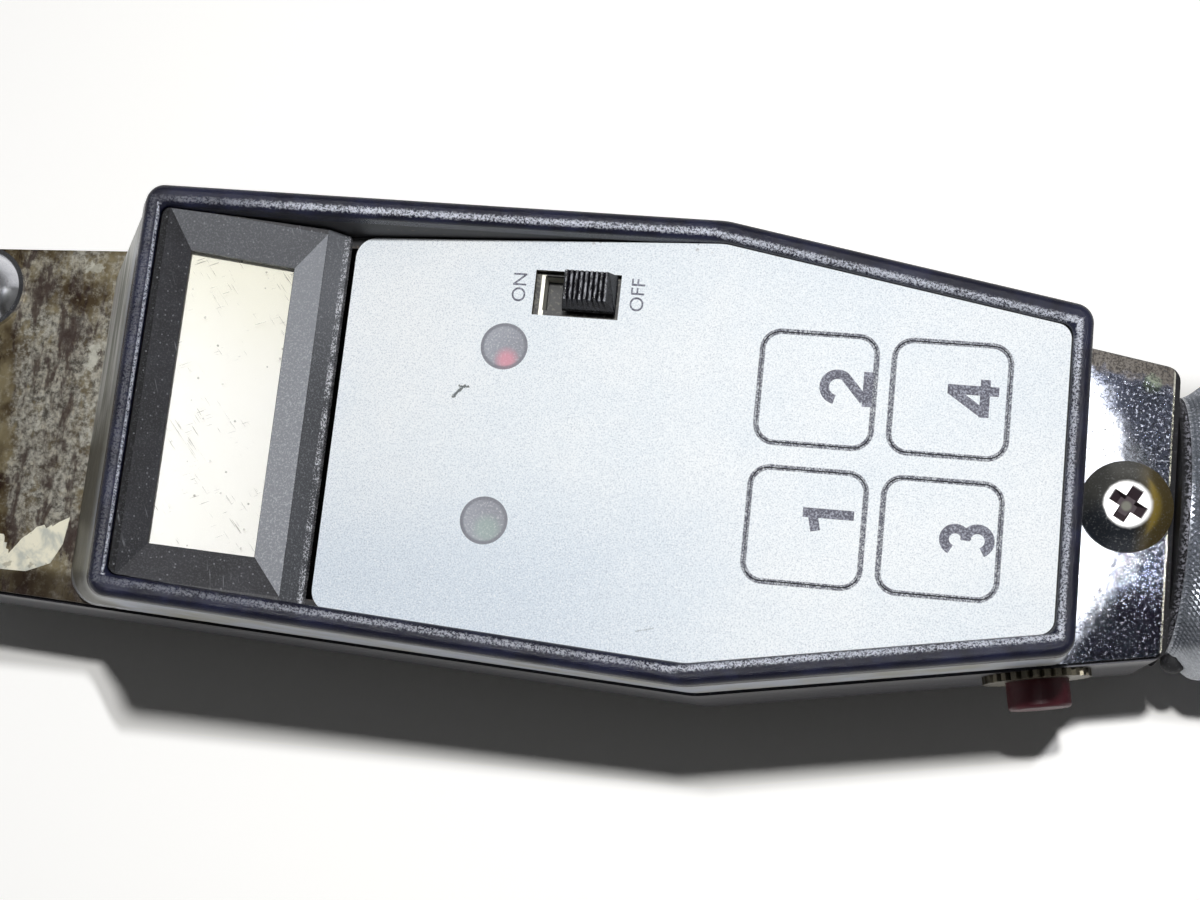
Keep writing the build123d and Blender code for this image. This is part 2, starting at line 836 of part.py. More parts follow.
with BuildPart() as lower_housing:
    with BuildSketch(Plane.XY.offset(body_bottom)):
        add(body_outline(body_front_x, body_rear_x, 0, front_corner, rear_corner))
    extrude(amount=cover_bottom - body_bottom)
    chamfer(lower_housing.edges().group_by(Axis.Z)[0], body_edge_chamfer)
    with BuildSketch(Plane.XY.offset(body_bottom + body_floor)):
        front_x = body_front_x + front_wall
        add(body_outline(front_x, bulkhead_x, side_wall, front_corner - side_wall, rear_corner))
    extrude(amount=body_height, mode=Mode.SUBTRACT)
    with BuildSketch(Plane.XY.offset(body_bottom + body_floor)):
        with Locations(*dome_places):
            Circle(post_diameter / 2)
    extrude(amount=cover_bottom - body_bottom - body_floor)
    with BuildSketch(Plane.XY.offset(body_bottom + body_floor)):
        with Locations(*anchor_places):
            Circle(anchor_head_diameter / 2)
    extrude(amount=boss_height)
    with Locations(*[(x, y, beam_bottom) for x, y in anchor_places]):
        Hole(anchor_diameter / 2, depth=anchor_depth)
    with Locations(*[(x, y, cover_bottom) for x, y in dome_places]):
        Hole(dome_bolt_diameter / 2, depth=dome_bolt_length)
    with BuildSketch(Plane.YZ.offset(body_front_x)):
        with Locations((0, axis_height)):
            Rectangle(mouth_width, mouth_height)
    extrude(amount=front_wall, mode=Mode.SUBTRACT)
    with BuildSketch(Plane.YZ.offset(body_rear_x)):
        with Locations((0, axis_height)):
            Circle(neck_radius)
    extrude(amount=collar_length)
    add(neck_flare.part)
    with BuildSketch(Plane.YZ.offset(tube_start_x)):
        with Locations((0, axis_height)):
            Circle(spigot_diameter / 2)
    extrude(amount=spigot_length)
    with BuildSketch(Plane.YZ.offset(tube_start_x + spigot_length)):
        with Locations((0, axis_height)):
            Circle(wire_bore / 2)
    extrude(amount=bulkhead_x - tube_start_x - spigot_length, mode=Mode.SUBTRACT)
    with Locations((truss_screw_x, 0, cover_bottom)):
        Hole(truss_screw_diameter / 2, depth=truss_screw_length - cover_thickness)
    with Locations((tube_pin_x, 0, axis_height)):
        Cylinder(tube_pin_diameter / 2, tube_diameter, mode=Mode.SUBTRACT)
    with BuildSketch(button_plane):
        Circle(button_bushing_diameter / 2)
    extrude(amount=side_wall, mode=Mode.SUBTRACT)
    with BuildSketch(button_seat):
        Circle(button_body_diameter / 2 + button_wall_gap)
    extrude(amount=button_body_length + end_gap, mode=Mode.SUBTRACT)
lower_housing.part.label = "lower_housing"
export_step(lower_housing.part, "parts/lower_housing.step")

# Cover plate with its screw holes and a window for the wiring
with BuildPart() as top_cover:
    with BuildSketch(Plane.XY.offset(cover_bottom)):
        front_x = body_front_x + cover_inset
        rear_x = body_rear_x - cover_rear_gap
        add(body_outline(front_x, rear_x, cover_inset, front_corner, rear_corner / 2))
    extrude(amount=cover_thickness)
    with Locations(*[(x, y, body_top) for x, y in dome_places]):
        Hole(dome_bolt_diameter / 2)
    with Locations((truss_screw_x, 0, body_top)):
        Hole(truss_screw_diameter / 2)
    with Locations(*[(x, y, body_top) for x, y in tray_screw_places]):
        Hole(small_screw_diameter / 2)
    with BuildSketch(Plane.XY.offset(body_top)):
        with Locations((bend_x, 0)):
            RectangleRounded(wiring_window, wiring_window, wiring_window_corner)
    extrude(amount=-cover_thickness, mode=Mode.SUBTRACT)
top_cover.part.label = "top_cover"
export_step(top_cover.part, "parts/top_cover.step")

# Truss-head screw: a low dome whose radius follows from its width and height
truss_dome_radius = (truss_head_diameter**2 / 4 + truss_head_height**2) / (2 * truss_head_height)

with BuildPart() as cover_screw:
    with BuildSketch(Plane.XZ) as truss_profile:
        with BuildLine():
            Line((truss_screw_x, body_top), (truss_screw_x + truss_head_diameter / 2, body_top))
            RadiusArc(
                (truss_screw_x + truss_head_diameter / 2, body_top),
                (truss_screw_x, body_top + truss_head_height),
                -truss_dome_radius,
            )
            Line((truss_screw_x, body_top + truss_head_height), (truss_screw_x, body_top))
        make_face()
    revolve(axis=Axis((truss_screw_x, 0, 0), (0, 0, 1)))
    with BuildSketch(Plane.XY.offset(body_top)):
        with Locations((truss_screw_x, 0)):
            Circle(truss_screw_diameter / 2)
    extrude(amount=-truss_screw_length)
cover_screw.part.label = "cover_screw"
export_step(cover_screw.part, "parts/cover_screw.step")

# Domed bolts at the head end: a thin flange, a straight neck and a dome
dome_rise = dome_height - dome_flange_height
dome_curve = (dome_diameter**2 / 4 + dome_rise**2) / (2 * dome_rise)

with BuildPart() as front_bolts:
    for x, y in dome_places:
        with BuildSketch(Plane.XZ.offset(-y)):
            with BuildLine():
                Polyline(
                    (x, body_top + dome_height),
                    (x, body_top - dome_bolt_length),
                    (x + dome_bolt_diameter / 2, body_top - dome_bolt_length),
                    (x + dome_bolt_diameter / 2, body_top),
                    (x + dome_flange_diameter / 2, body_top),
                    (x + dome_flange_diameter / 2, body_top + dome_flange_height),
                    (x + dome_diameter / 2, body_top + dome_flange_height),
                )
                RadiusArc(
                    (x + dome_diameter / 2, body_top + dome_flange_height),
                    (x, body_top + dome_height),
                    -dome_curve,
                )
            make_face()
        revolve(axis=Axis((x, y, 0), (0, 0, 1)))
front_bolts.part.label = "front_bolts"
export_step(front_bolts.part, "parts/front_bolts.step")

# Seal that fills the mouth round the beam
with BuildPart() as beam_seal:
    with BuildSketch(Plane.YZ.offset(body_front_x + end_gap)):
        with Locations((0, axis_height)):
            Rectangle(mouth_width, mouth_height)
            Rectangle(beam_width, beam_height, mode=Mode.SUBTRACT)
    extrude(amount=front_wall - 2 * end_gap)
beam_seal.part.label = "beam_seal"
export_step(beam_seal.part, "parts/beam_seal.step")

# Push button: a threaded bushing through the near flank, with its body inside and a red cap
bushing_inner_diameter = button_cap_diameter + 2 * button_bore_gap

with BuildPart() as button_bushing:
    with BuildSketch(button_plane.offset(-ring_thickness)):
        Circle(button_bushing_diameter / 2)
    extrude(amount=ring_thickness + side_wall)
    with BuildSketch(button_seat):
        Circle(button_body_diameter / 2)
    extrude(amount=button_body_length)
    with BuildSketch(button_plane.offset(-ring_thickness)):
        Circle(bushing_inner_diameter / 2)
    extrude(amount=ring_thickness + button_cap_inside + button_travel + end_gap, mode=Mode.SUBTRACT)
button_bushing.part.label = "button_bushing"
export_step(button_bushing.part, "parts/button_bushing.step")

with BuildPart() as button_cap:
    with BuildSketch(button_plane.offset(-ring_thickness - button_proud)):
        Circle(button_cap_diameter / 2)
    extrude(amount=ring_thickness + button_proud + button_cap_inside)
    outer_rim = button_cap.edges().filter_by(GeomType.CIRCLE).sort_by(Axis.Y)[0]
    fillet(outer_rim, button_cap_round)
button_cap.part.label = "button_cap"
export_step(button_cap.part, "parts/button_cap.step")

# Toothed ring that clamps the bushing to the flank
with BuildPart() as button_ring:
    with BuildSketch(button_plane.offset(-ring_thickness)):
        Circle(ring_diameter / 2)
        with PolarLocations(ring_diameter / 2, ring_teeth):
            Polygon(
                (-ring_tooth_depth, 0),
                (ring_tooth_depth, -ring_tooth_half_width),
                (ring_tooth_depth, ring_tooth_half_width),
                align=None,
                mode=Mode.SUBTRACT,
            )
        Circle(button_bushing_diameter / 2, mode=Mode.SUBTRACT)
    extrude(amount=ring_thickness)
button_ring.part.label = "button_ring"
export_step(button_ring.part, "parts/button_ring.step")

# Handle tube, locked to the spigot by two pins
axis_plane = Plane(origin=(0, 0, axis_height), x_dir=(0, 1, 0), z_dir=(1, 0, 0))
tube_end_x = tube_start_x + tube_length

with BuildPart() as handle_tube:
    with BuildSketch(axis_plane.offset(tube_start_x)):
        Circle(tube_diameter / 2)
        Circle(tube_bore / 2, mode=Mode.SUBTRACT)
    extrude(amount=tube_length)
    with Locations((tube_pin_x, 0, axis_height)):
        Cylinder(tube_pin_diameter / 2, grip_diameter, mode=Mode.SUBTRACT)
handle_tube.part.label = "handle_tube"
export_step(handle_tube.part, "parts/handle_tube.step")

pin_reach = sqrt(tube_diameter**2 - tube_pin_diameter**2) / 2

with BuildPart() as tube_pins:
    for side in (-1, 1):
        with Locations((tube_pin_x, 0, axis_height + side * (pin_reach - tube_pin_depth / 2))):
            Cylinder(tube_pin_diameter / 2, tube_pin_depth)
tube_pins.part.label = "tube_pins"
export_step(tube_pins.part, "parts/tube_pins.step")

# Grip sleeve with a rounded shoulder at each end
with BuildPart() as grip:
    with BuildSketch(axis_plane.offset(grip_start_x)):
        Circle(grip_diameter / 2)
    extrude(amount=grip_length)
    fillet(grip.edges().filter_by(GeomType.CIRCLE), grip_shoulder)
    with BuildSketch(axis_plane.offset(grip_start_x)):
        Circle(tube_diameter / 2)
    extrude(amount=grip_length, mode=Mode.SUBTRACT)
grip.part.label = "grip"
export_step(grip.part, "parts/grip.step")

# Eight cells in two rows round the carrier's rod. They fill the tube between the spigot and the
# spring in the end cap, and four lie side by side in its bore.
spring_seat_x = tube_end_x + end_gap - cap_plug_floor
carrier_start_x = tube_start_x + spigot_length + carrier_start_gap
carrier_end_x = spring_seat_x - spring_length - carrier_start_gap
carrier_radius = tube_bore / 2 - carrier_side_gap
first_cell_x = carrier_start_x + carrier_disc_thickness
cells_length = carrier_end_x - carrier_start_x - 2 * carrier_disc_thickness
cell_length = (cells_length - (cell_rows - 1) * cell_row_gap) / cell_rows
cell_step = cell_length + cell_row_gap
cell_diameter = (tube_bore - 2 * cell_side_gap - cell_spacing_gap) / (1 + sqrt(2))
cell_circle = cell_diameter / sqrt(2) + cell_spacing_gap / 2

with BuildPart() as battery_cells:
    for row in range(cell_rows):
        with BuildSketch(axis_plane.offset(first_cell_x + row * cell_step)):
            with PolarLocations(cell_circle, 4, start_angle=45):
                Circle(cell_diameter / 2)
        extrude(amount=cell_length)
battery_cells.part.label = "battery_cells"
export_step(battery_cells.part, "parts/battery_cells.step")

with BuildPart() as battery_carrier:
    with BuildSketch(axis_plane.offset(carrier_start_x)):
        Circle(carrier_radius)
    extrude(amount=carrier_disc_thickness)
    with BuildSketch(axis_plane.offset(carrier_end_x - carrier_disc_thickness)):
        Circle(carrier_radius)
    extrude(amount=carrier_disc_thickness)
    with BuildSketch(axis_plane.offset(carrier_start_x)):
        Circle(carrier_rod_diameter / 2)
    extrude(amount=carrier_end_x - carrier_start_x)
battery_carrier.part.label = "battery_carrier"
export_step(battery_carrier.part, "parts/battery_carrier.step")

# End cap: a domed, fluted cap with a hollow plug that slides into the tube
cap_start_x = tube_end_x + end_gap
plug_radius = tube_bore / 2 - cap_plug_gap
flute_circle = cap_diameter / 2 + cap_flute_radius - cap_flute_depth

with BuildPart() as end_cap:
    with BuildSketch(axis_plane.offset(cap_start_x)):
        Circle(cap_diameter / 2)
    extrude(amount=cap_length)
    fillet(end_cap.edges().filter_by(GeomType.CIRCLE).sort_by(Axis.X)[-1], cap_round)
    with BuildSketch(axis_plane.offset(cap_start_x)):
        with PolarLocations(flute_circle, cap_flutes):
            Circle(cap_flute_radius)
    extrude(amount=cap_length, mode=Mode.SUBTRACT)
    with BuildSketch(axis_plane.offset(cap_start_x)):
        Circle(plug_radius)
    extrude(amount=-cap_plug_length)
    with BuildSketch(axis_plane.offset(spring_seat_x)):
        Circle(plug_radius - cap_plug_wall)
    extrude(amount=cap_start_x - cap_plug_length - spring_seat_x, mode=Mode.SUBTRACT)
end_cap.part.label = "end_cap"
export_step(end_cap.part, "parts/end_cap.step")

# Coil spring seated in the plug
spring_pitch = (spring_length - spring_wire) / spring_turns

with BuildPart() as battery_spring:
    with BuildLine() as coil:
        Helix(
            spring_pitch,
            spring_pitch * spring_turns,
            spring_diameter / 2,
            center=(spring_seat_x - spring_length + spring_wire / 2, 0, axis_height),
            direction=(1, 0, 0),
        )
    with BuildSketch(Plane(origin=coil.line @ 0, z_dir=coil.line % 0)):
        Circle(spring_wire / 2)
    sweep()
battery_spring.part.label = "battery_spring"
export_step(battery_spring.part, "parts/battery_spring.step")

# Display tray: leaning head end, drafted grip end, a floor, and a ledge for the panel
tray_cavity_floor = body_top + tray_floor

with BuildPart() as display_housing:
    for height in (body_top, tray_top):
        with BuildSketch(Plane.XY.offset(height)):
            add(tray_outline(height, tray_outer_inset, tray_outer_inset))
    loft(ruled=True)
    for height in (panel_bottom, tray_top):
        with BuildSketch(Plane.XY.offset(height)):
            add(tray_outline(height, tray_inner_inset, tray_inner_end))
    loft(ruled=True, mode=Mode.SUBTRACT)
    for height in (tray_cavity_floor, panel_bottom):
        with BuildSketch(Plane.XY.offset(height)):
            add(tray_outline(height, tray_inner_inset + ledge_width, tray_inner_end + ledge_width))
    loft(ruled=True, mode=Mode.SUBTRACT)
    with BuildSketch(Plane.XZ):
        add(beyond_rim(trim_cap, upwards=True))
    extrude(amount=body_height * 2, both=True, mode=Mode.SUBTRACT)
    with Locations(*[(x, y, tray_cavity_floor) for x, y in tray_screw_places]):
        Hole(small_screw_diameter / 2, depth=tray_floor)
    with BuildSketch(Plane.XY.offset(body_top)):
        with Locations((bend_x, 0)):
            RectangleRounded(wiring_window, wiring_window, wiring_window_corner)
    extrude(amount=tray_floor, mode=Mode.SUBTRACT)
display_housing.part.label = "display_housing"
export_step(display_housing.part, "parts/display_housing.step")

# Edge trim: a channel pressed over the rim of the tray, rounded along both sides of its crest
crest_slope = cos(radians(2 * rim_rise))

with BuildPart() as edge_trim:
    for height in (body_top, tray_top):
        with BuildSketch(Plane.XY.offset(height)):
            add(tray_outline(height, 0, 0))
    loft(ruled=True)
    for height in (body_top, tray_top):
        with BuildSketch(Plane.XY.offset(height)):
            add(tray_outline(height, trim_width, trim_end_width))
    loft(ruled=True, mode=Mode.SUBTRACT)
    with BuildSketch(Plane.XZ):
        add(beyond_rim(0, upwards=True))
    extrude(amount=body_height * 2, both=True, mode=Mode.SUBTRACT)
    with BuildSketch(Plane.XZ):
        add(beyond_rim(trim_height, upwards=False))
    extrude(amount=body_height * 2, both=True, mode=Mode.SUBTRACT)
    crest = edge_trim.faces().filter_by(lambda face: face.normal_at().Z > crest_slope)
    rims = [edge for edge in crest.edges() if sum(edge in face.edges() for face in crest) == 1]
    fillet(rims, trim_round)
    add(display_housing.part, mode=Mode.SUBTRACT)
edge_trim.part.label = "edge_trim"
export_step(edge_trim.part, "parts/edge_trim.step")

# Display bezel: the tray's outline cut to a wedge, with a bevelled picture frame on its slope
window_slope = tan(radians(window_tilt))
window_plane = Plane(
    origin=(tray_front_x + window_setback, 0, panel_top + window_height),
    x_dir=(cos(radians(window_tilt)), 0, -sin(radians(window_tilt))),
    z_dir=(sin(radians(window_tilt)), 0, cos(radians(window_tilt))),
)
bezel_inset = trim_width + bezel_gap
bezel_end_inset = trim_end_width + bezel_gap
crest_middle = window_plane.origin + window_plane.z_dir * bevel_depth
ridge_reach = window_width / 2 + bevel_run_x
ridge = crest_middle + window_plane.x_dir * ridge_reach
crest_front_z = crest_middle.Z + (crest_middle.X - tray_front_x) * window_slope
frame_width = window_width + 2 * bevel_run_x
frame_length = window_length + 2 * bevel_run_y
cell_width = window_width + 2 * cell_margin
cell_length_y = window_length + 2 * cell_margin
pocket_width = cell_width + 2 * bezel_gap
pocket_length = cell_length_y + 2 * bezel_gap

with BuildPart() as display_bezel:
    for height in (panel_bottom, tray_top):
        with BuildSketch(Plane.XY.offset(height)):
            add(tray_outline(height, bezel_inset, bezel_end_inset))
    loft(ruled=True)
    with BuildSketch(Plane.XZ):
        with BuildLine():
            Polyline(
                (tray_front_x, panel_bottom),
                (bezel_rear_x, panel_bottom),
                (bezel_rear_x, panel_top + bezel_rear_step),
                (ridge.X, ridge.Z),
                (tray_front_x, crest_front_z),
                close=True,
            )
        make_face()
    extrude(amount=bend_half_width, both=True, mode=Mode.INTERSECT)
    with BuildSketch(window_plane):
        Rectangle(window_width, window_length)
    with BuildSketch(window_plane.offset(bevel_depth)):
        Rectangle(frame_width, frame_length)
    loft(mode=Mode.SUBTRACT)
    with BuildSketch(window_plane):
        Rectangle(window_width, window_length)
    extrude(amount=-bezel_lip, mode=Mode.SUBTRACT)
    with BuildSketch(window_plane.offset(-bezel_lip)):
        Rectangle(pocket_width, pocket_length)
    extrude(amount=-body_height, mode=Mode.SUBTRACT)
display_bezel.part.label = "display_bezel"
export_step(display_bezel.part, "parts/display_bezel.step")

with BuildPart() as display_window:
    with BuildSketch(window_plane.offset(-bezel_lip)):
        Rectangle(cell_width, cell_length_y)
    extrude(amount=-display_window_thickness)
display_window.part.label = "display_window"
export_step(display_window.part, "parts/display_window.step")

with BuildPart() as display_cell:
    with BuildSketch(window_plane.offset(-bezel_lip - display_window_thickness)):
        Rectangle(cell_width, cell_length_y)
    extrude(amount=-display_cell_thickness)
display_cell.part.label = "display_cell"
export_step(display_cell.part, "parts/display_cell.step")

# Keypad panel
panel_end_inset = tray_inner_end + panel_gap
panel_side_inset = tray_inner_inset + panel_gap
panel_rear_x = tray_rear_x - panel_height * tan(radians(tray_rear_draft)) - panel_end_inset
key_opening = key_size + 2 * key_gap

with BuildPart() as keypad_panel:
    with BuildSketch(Plane.XY.offset(panel_bottom)):
        add(
            body_outline(
                panel_front_x, panel_rear_x, panel_side_inset, panel_front_corner, panel_rear_corner
            )
        )
        with Locations(*key_places):
            RectangleRounded(key_opening, key_opening, key_corner + key_gap, mode=Mode.SUBTRACT)
        with Locations(*lamp_places):
            Circle(lamp_window_diameter / 2, mode=Mode.SUBTRACT)
        with Locations((slot_x, slot_y)):
            Rectangle(slot_length, slot_width, mode=Mode.SUBTRACT)
    extrude(amount=panel_thickness)
keypad_panel.part.label = "keypad_panel"
export_step(keypad_panel.part, "parts/keypad_panel.step")

# Keys, flush with the panel: a cap, a hidden flange that keeps it in, and a short stem
key_flange_size = key_size + 2 * key_flange_margin
key_flange_top = panel_bottom - key_gap

for number, (x, y) in enumerate(key_places, start=1):
    with BuildPart() as key:
        with BuildSketch(Plane.XY.offset(key_flange_top)):
            with Locations((x, y)):
                RectangleRounded(key_size, key_size, key_corner)
        extrude(amount=panel_top - key_flange_top)
        with BuildSketch(Plane.XY.offset(key_flange_top)):
            with Locations((x, y)):
                Rectangle(key_flange_size, key_flange_size)
        extrude(amount=-key_flange_thickness)
        with BuildSketch(Plane.XY.offset(key_flange_top - key_flange_thickness)):
            with Locations((x, y)):
                Circle(key_stem_diameter / 2)
        extrude(amount=-key_stem_length)
    key.part.label = f"key_{number}"
    export_step(key.part, f"parts/key_{number}.step")

# Lamp windows and the lamps under them
with BuildPart() as lamp_windows:
    with BuildSketch(Plane.XY.offset(panel_bottom)):
        with Locations(*lamp_places):
            Circle(lamp_window_diameter / 2)
    extrude(amount=panel_thickness)
lamp_windows.part.label = "lamp_windows"
export_step(lamp_windows.part, "parts/lamp_windows.step")

lamp_top = panel_bottom - panel_gap
lamp_names = ["green_lamp", "red_lamp"]

for lamp_name, (x, y) in zip(lamp_names, lamp_places):
    with BuildPart() as lamp:
        with BuildSketch(Plane.XY.offset(board_top)):
            with Locations((x, y)):
                Circle(lamp_diameter / 2)
        extrude(amount=lamp_top - board_top)
        lamp_rim = lamp.edges().filter_by(GeomType.CIRCLE).sort_by(Axis.Z)[-1]
        fillet(lamp_rim, lamp_diameter / 2 - running_gap)
    lamp.part.label = lamp_name
    export_step(lamp.part, f"parts/{lamp_name}.step")

# Slide switch: a metal-framed body on the board, and a ribbed knob that stands through the slot
switch_top = panel_bottom - switch_frame_gap
knob_floor = board_top + knob_foot
knob_y = slot_y + knob_side_step
frame_opening = knob_length + knob_travel + 2 * knob_gap
frame_x = knob_x + (knob_length - frame_opening) / 2 + knob_gap

with BuildPart() as switch_body:
    with BuildSketch(Plane.XY.offset(board_top)):
        with Locations((slot_x, slot_y)):
            Rectangle(switch_body_length, switch_body_width)
    extrude(amount=switch_top - board_top)
    with BuildSketch(Plane.XY.offset(switch_top)):
        with Locations((frame_x, knob_y)):
            Rectangle(frame_opening, knob_width + 2 * knob_gap)
    extrude(amount=knob_floor - switch_top, mode=Mode.SUBTRACT)
switch_body.part.label = "switch_body"
export_step(switch_body.part, "parts/switch_body.step")

with BuildPart() as switch_knob:
    with BuildSketch(Plane.XY.offset(knob_floor + knob_gap)):
        with Locations((knob_x, knob_y)):
            Rectangle(knob_length, knob_width)
    extrude(amount=panel_top + knob_proud - knob_floor - knob_gap)
    rib_pitch = knob_length / knob_ribs
    with BuildSketch(Plane.XY.offset(panel_top + knob_proud)):
        with Locations((knob_x, knob_y)):
            with GridLocations(rib_pitch, 0, knob_ribs - 1, 1):
                Rectangle(rib_pitch / 2, knob_width)
    extrude(amount=-knob_rib_depth, mode=Mode.SUBTRACT)
switch_knob.part.label = "switch_knob"
export_step(switch_knob.part, "parts/switch_knob.step")

# Circuit board on four standoffs, held by four screws
with BuildPart() as circuit_board:
    with BuildSketch(Plane.XY.offset(board_bottom)):
        add(body_outline(board_front_x, board_rear_x, board_side_gap, board_corner, board_corner))
        with Locations(*board_hole_places):
            Circle(small_screw_diameter / 2, mode=Mode.SUBTRACT)
    extrude(amount=board_thickness)
circuit_board.part.label = "circuit_board"
export_step(circuit_board.part, "parts/circuit_board.step")

with BuildPart() as board_standoffs:
    with BuildSketch(Plane.XY.offset(tray_cavity_floor)):
        with Locations(*board_hole_places):
            RegularPolygon(standoff_across_flats / 2, 6, major_radius=False)
    extrude(amount=board_bottom - tray_cavity_floor)
    with Locations(*[(x, y, board_bottom) for x, y in board_hole_places]):
        Hole(small_screw_diameter / 2, depth=board_screw_reach)
board_standoffs.part.label = "board_standoffs"
export_step(board_standoffs.part, "parts/board_standoffs.step")


def pan_screw(x, y, seat, length):
    """A small pan-head screw whose head sits on a level and whose shank goes down from it."""
    with BuildPart() as screw:
        with BuildSketch(Plane.XY.offset(seat)):
            with Locations((x, y)):
                Circle(small_head_diameter / 2)
        extrude(amount=small_head_height)
        fillet(screw.edges().group_by(Axis.Z)[-1], small_head_round)
        with BuildSketch(Plane.XY.offset(seat)):
            with Locations((x, y)):
                Circle(small_screw_diameter / 2)
        extrude(amount=-length)
    return screw.part


with BuildPart() as board_screws:
    for x, y in board_hole_places:
        add(pan_screw(x, y, board_top, board_thickness + board_screw_reach))
board_screws.part.label = "board_screws"
export_step(board_screws.part, "parts/board_screws.step")

with BuildPart() as tray_screws:
    for x, y in tray_screw_places:
        add(pan_screw(x, y, tray_cavity_floor, tray_screw_length))
tray_screws.part.label = "tray_screws"
export_step(tray_screws.part, "parts/tray_screws.step")

with BuildPart() as tray_nuts:
    with BuildSketch(Plane.XY.offset(cover_bottom)):
        with Locations(*tray_screw_places):
            RegularPolygon(small_nut_across_flats / 2, 6, major_radius=False)
            Circle(small_screw_diameter / 2, mode=Mode.SUBTRACT)
    extrude(amount=-small_nut_thickness)
tray_nuts.part.label = "tray_nuts"
export_step(tray_nuts.part, "parts/tray_nuts.step")

# Key switches on the board, each with a plunger under a key's stem
with BuildPart() as key_switches:
    for x, y in key_places:
        with BuildSketch(Plane.XY.offset(board_top)):
            with Locations((x, y)):
                Rectangle(key_switch_size, key_switch_size)
        extrude(amount=key_switch_height)
        with BuildSketch(Plane.XY.offset(board_top + key_switch_height)):
            with Locations((x, y)):
                Circle(plunger_diameter / 2)
        extrude(amount=plunger_height)
key_switches.part.label = "key_switches"
export_step(key_switches.part, "parts/key_switches.step")


def round_lead(route, diameter):
    """A round lead of straight runs, with an arc at each corner as large as its runs allow."""
    corners = [Vector(*point) for point in route]
    runs = [after - before for before, after in zip(corners, corners[1:])]
    radii = []
    for before, after in zip(runs, runs[1:]):
        half_turn = radians(before.get_angle(after)) / 2
        radii.append(arc_share * min(before.length, after.length) / tan(half_turn))
    with BuildPart() as lead:
        with BuildLine() as path:
            FilletPolyline(*corners, radius=radii)
        with BuildSketch(Plane(origin=path.line @ 0, z_dir=path.line % 0)):
            Circle(diameter / 2)
        sweep()
    length = sum(edge.length for edge in path.edges())
    print("lead", round(length, 1), "mm long, radii", [round(radius, 1) for radius in radii])
    return lead.part


# Lead from the gauges over the beam's flange, and lead from the batteries through the wire bore,
# each up through the window in the cover to the board
with BuildPart() as gauge_lead:
    add(round_lead(gauge_lead_route, gauge_lead_diameter))
gauge_lead.part.label = "gauge_lead"
export_step(gauge_lead.part, "parts/gauge_lead.step")

with BuildPart() as battery_lead:
    add(round_lead(battery_lead_route, battery_lead_diameter))
battery_lead.part.label = "battery_lead"
export_step(battery_lead.part, "parts/battery_lead.step")
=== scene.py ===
# %% [markdown]
# # A digital torque wrench
# The wrench is a bent casting under a plated cover, with a tray of electronics on top, a
# knurled grip behind and a ratchet head in front. Its solids come packed from the CAD step
# and hold every size, so this script only gives them their finishes and adds what is too
# fine for the solids: ink, a torn label, a screw's recess and the knurl.
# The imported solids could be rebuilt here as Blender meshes, but then two files would have to
# agree on every size. Loading them keeps one source for the sizes.

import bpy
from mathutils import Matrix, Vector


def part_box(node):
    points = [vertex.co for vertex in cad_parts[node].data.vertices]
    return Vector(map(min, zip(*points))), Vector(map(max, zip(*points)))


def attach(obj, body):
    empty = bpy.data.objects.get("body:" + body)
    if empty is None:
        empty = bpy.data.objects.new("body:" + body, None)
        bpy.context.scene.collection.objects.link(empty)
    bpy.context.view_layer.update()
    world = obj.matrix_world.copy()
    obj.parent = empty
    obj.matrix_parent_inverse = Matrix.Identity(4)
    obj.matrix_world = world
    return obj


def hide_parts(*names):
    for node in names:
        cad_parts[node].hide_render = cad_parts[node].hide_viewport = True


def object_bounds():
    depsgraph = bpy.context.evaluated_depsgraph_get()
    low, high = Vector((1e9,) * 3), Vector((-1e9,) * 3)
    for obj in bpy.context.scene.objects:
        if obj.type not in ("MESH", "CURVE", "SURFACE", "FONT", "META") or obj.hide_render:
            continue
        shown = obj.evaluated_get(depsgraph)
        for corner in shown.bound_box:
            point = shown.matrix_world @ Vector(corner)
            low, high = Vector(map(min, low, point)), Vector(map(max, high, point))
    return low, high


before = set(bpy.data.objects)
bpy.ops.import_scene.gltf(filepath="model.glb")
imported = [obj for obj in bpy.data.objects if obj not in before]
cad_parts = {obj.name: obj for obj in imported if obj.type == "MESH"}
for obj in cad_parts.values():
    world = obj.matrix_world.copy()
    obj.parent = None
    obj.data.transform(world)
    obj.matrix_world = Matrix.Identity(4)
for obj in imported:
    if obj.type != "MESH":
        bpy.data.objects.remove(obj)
cad_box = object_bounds()
print("solids", len(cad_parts))
print("box", [[round(value, 4) for value in corner] for corner in cad_box])

# %% The libraries
import math
import random

import bmesh
import bpy
from mathutils import Matrix, Vector

scene = bpy.context.scene
MM = 0.001

# %% [markdown]
# ## The camera
# The photograph looks almost straight down on the middle of the wrench from about a third of
# a metre. A camera could be aimed with a Track To constraint, but the photograph has a small
# roll that such a constraint can't hold, so the turn is given as three angles. They and the
# lens come from a fit of the panel's, the window's and the keys' corners.

# %% Camera
def stand(name, data):
    """A new object with the given data, placed in the scene."""
    made = bpy.data.objects.new(name, data)
    scene.collection.objects.link(made)
    return made


view = bpy.data.cameras.new("photo_camera")
view.sensor_width = 36.0
view.lens = 57.0
view.clip_start, view.clip_end = 0.02, 20.0
camera = stand("photo_camera", view)
camera.location = (0.2200, -0.0535, 0.3418)
camera.rotation_mode = "ZYX"
camera.rotation_euler = (0.182958, 0.145042, 0.079948)
scene.camera = camera
scene.view_settings.view_transform = "Standard"
print("camera height", round(camera.location.z, 3), "m")

# %% [markdown]
# ## Shader maths as Python
# A finish is a graph of small nodes, and a sum such as 1 - mask * 0.5 takes two Math nodes
# and three links when it is wired by hand. A node group could hold such a sum, but a reader
# would still have to open it. Here one small class wraps a socket and overloads Python's
# operators, so that a sum reads as a sum and adds its own nodes. `&` and `|` keep the lower
# and the higher of two masks.

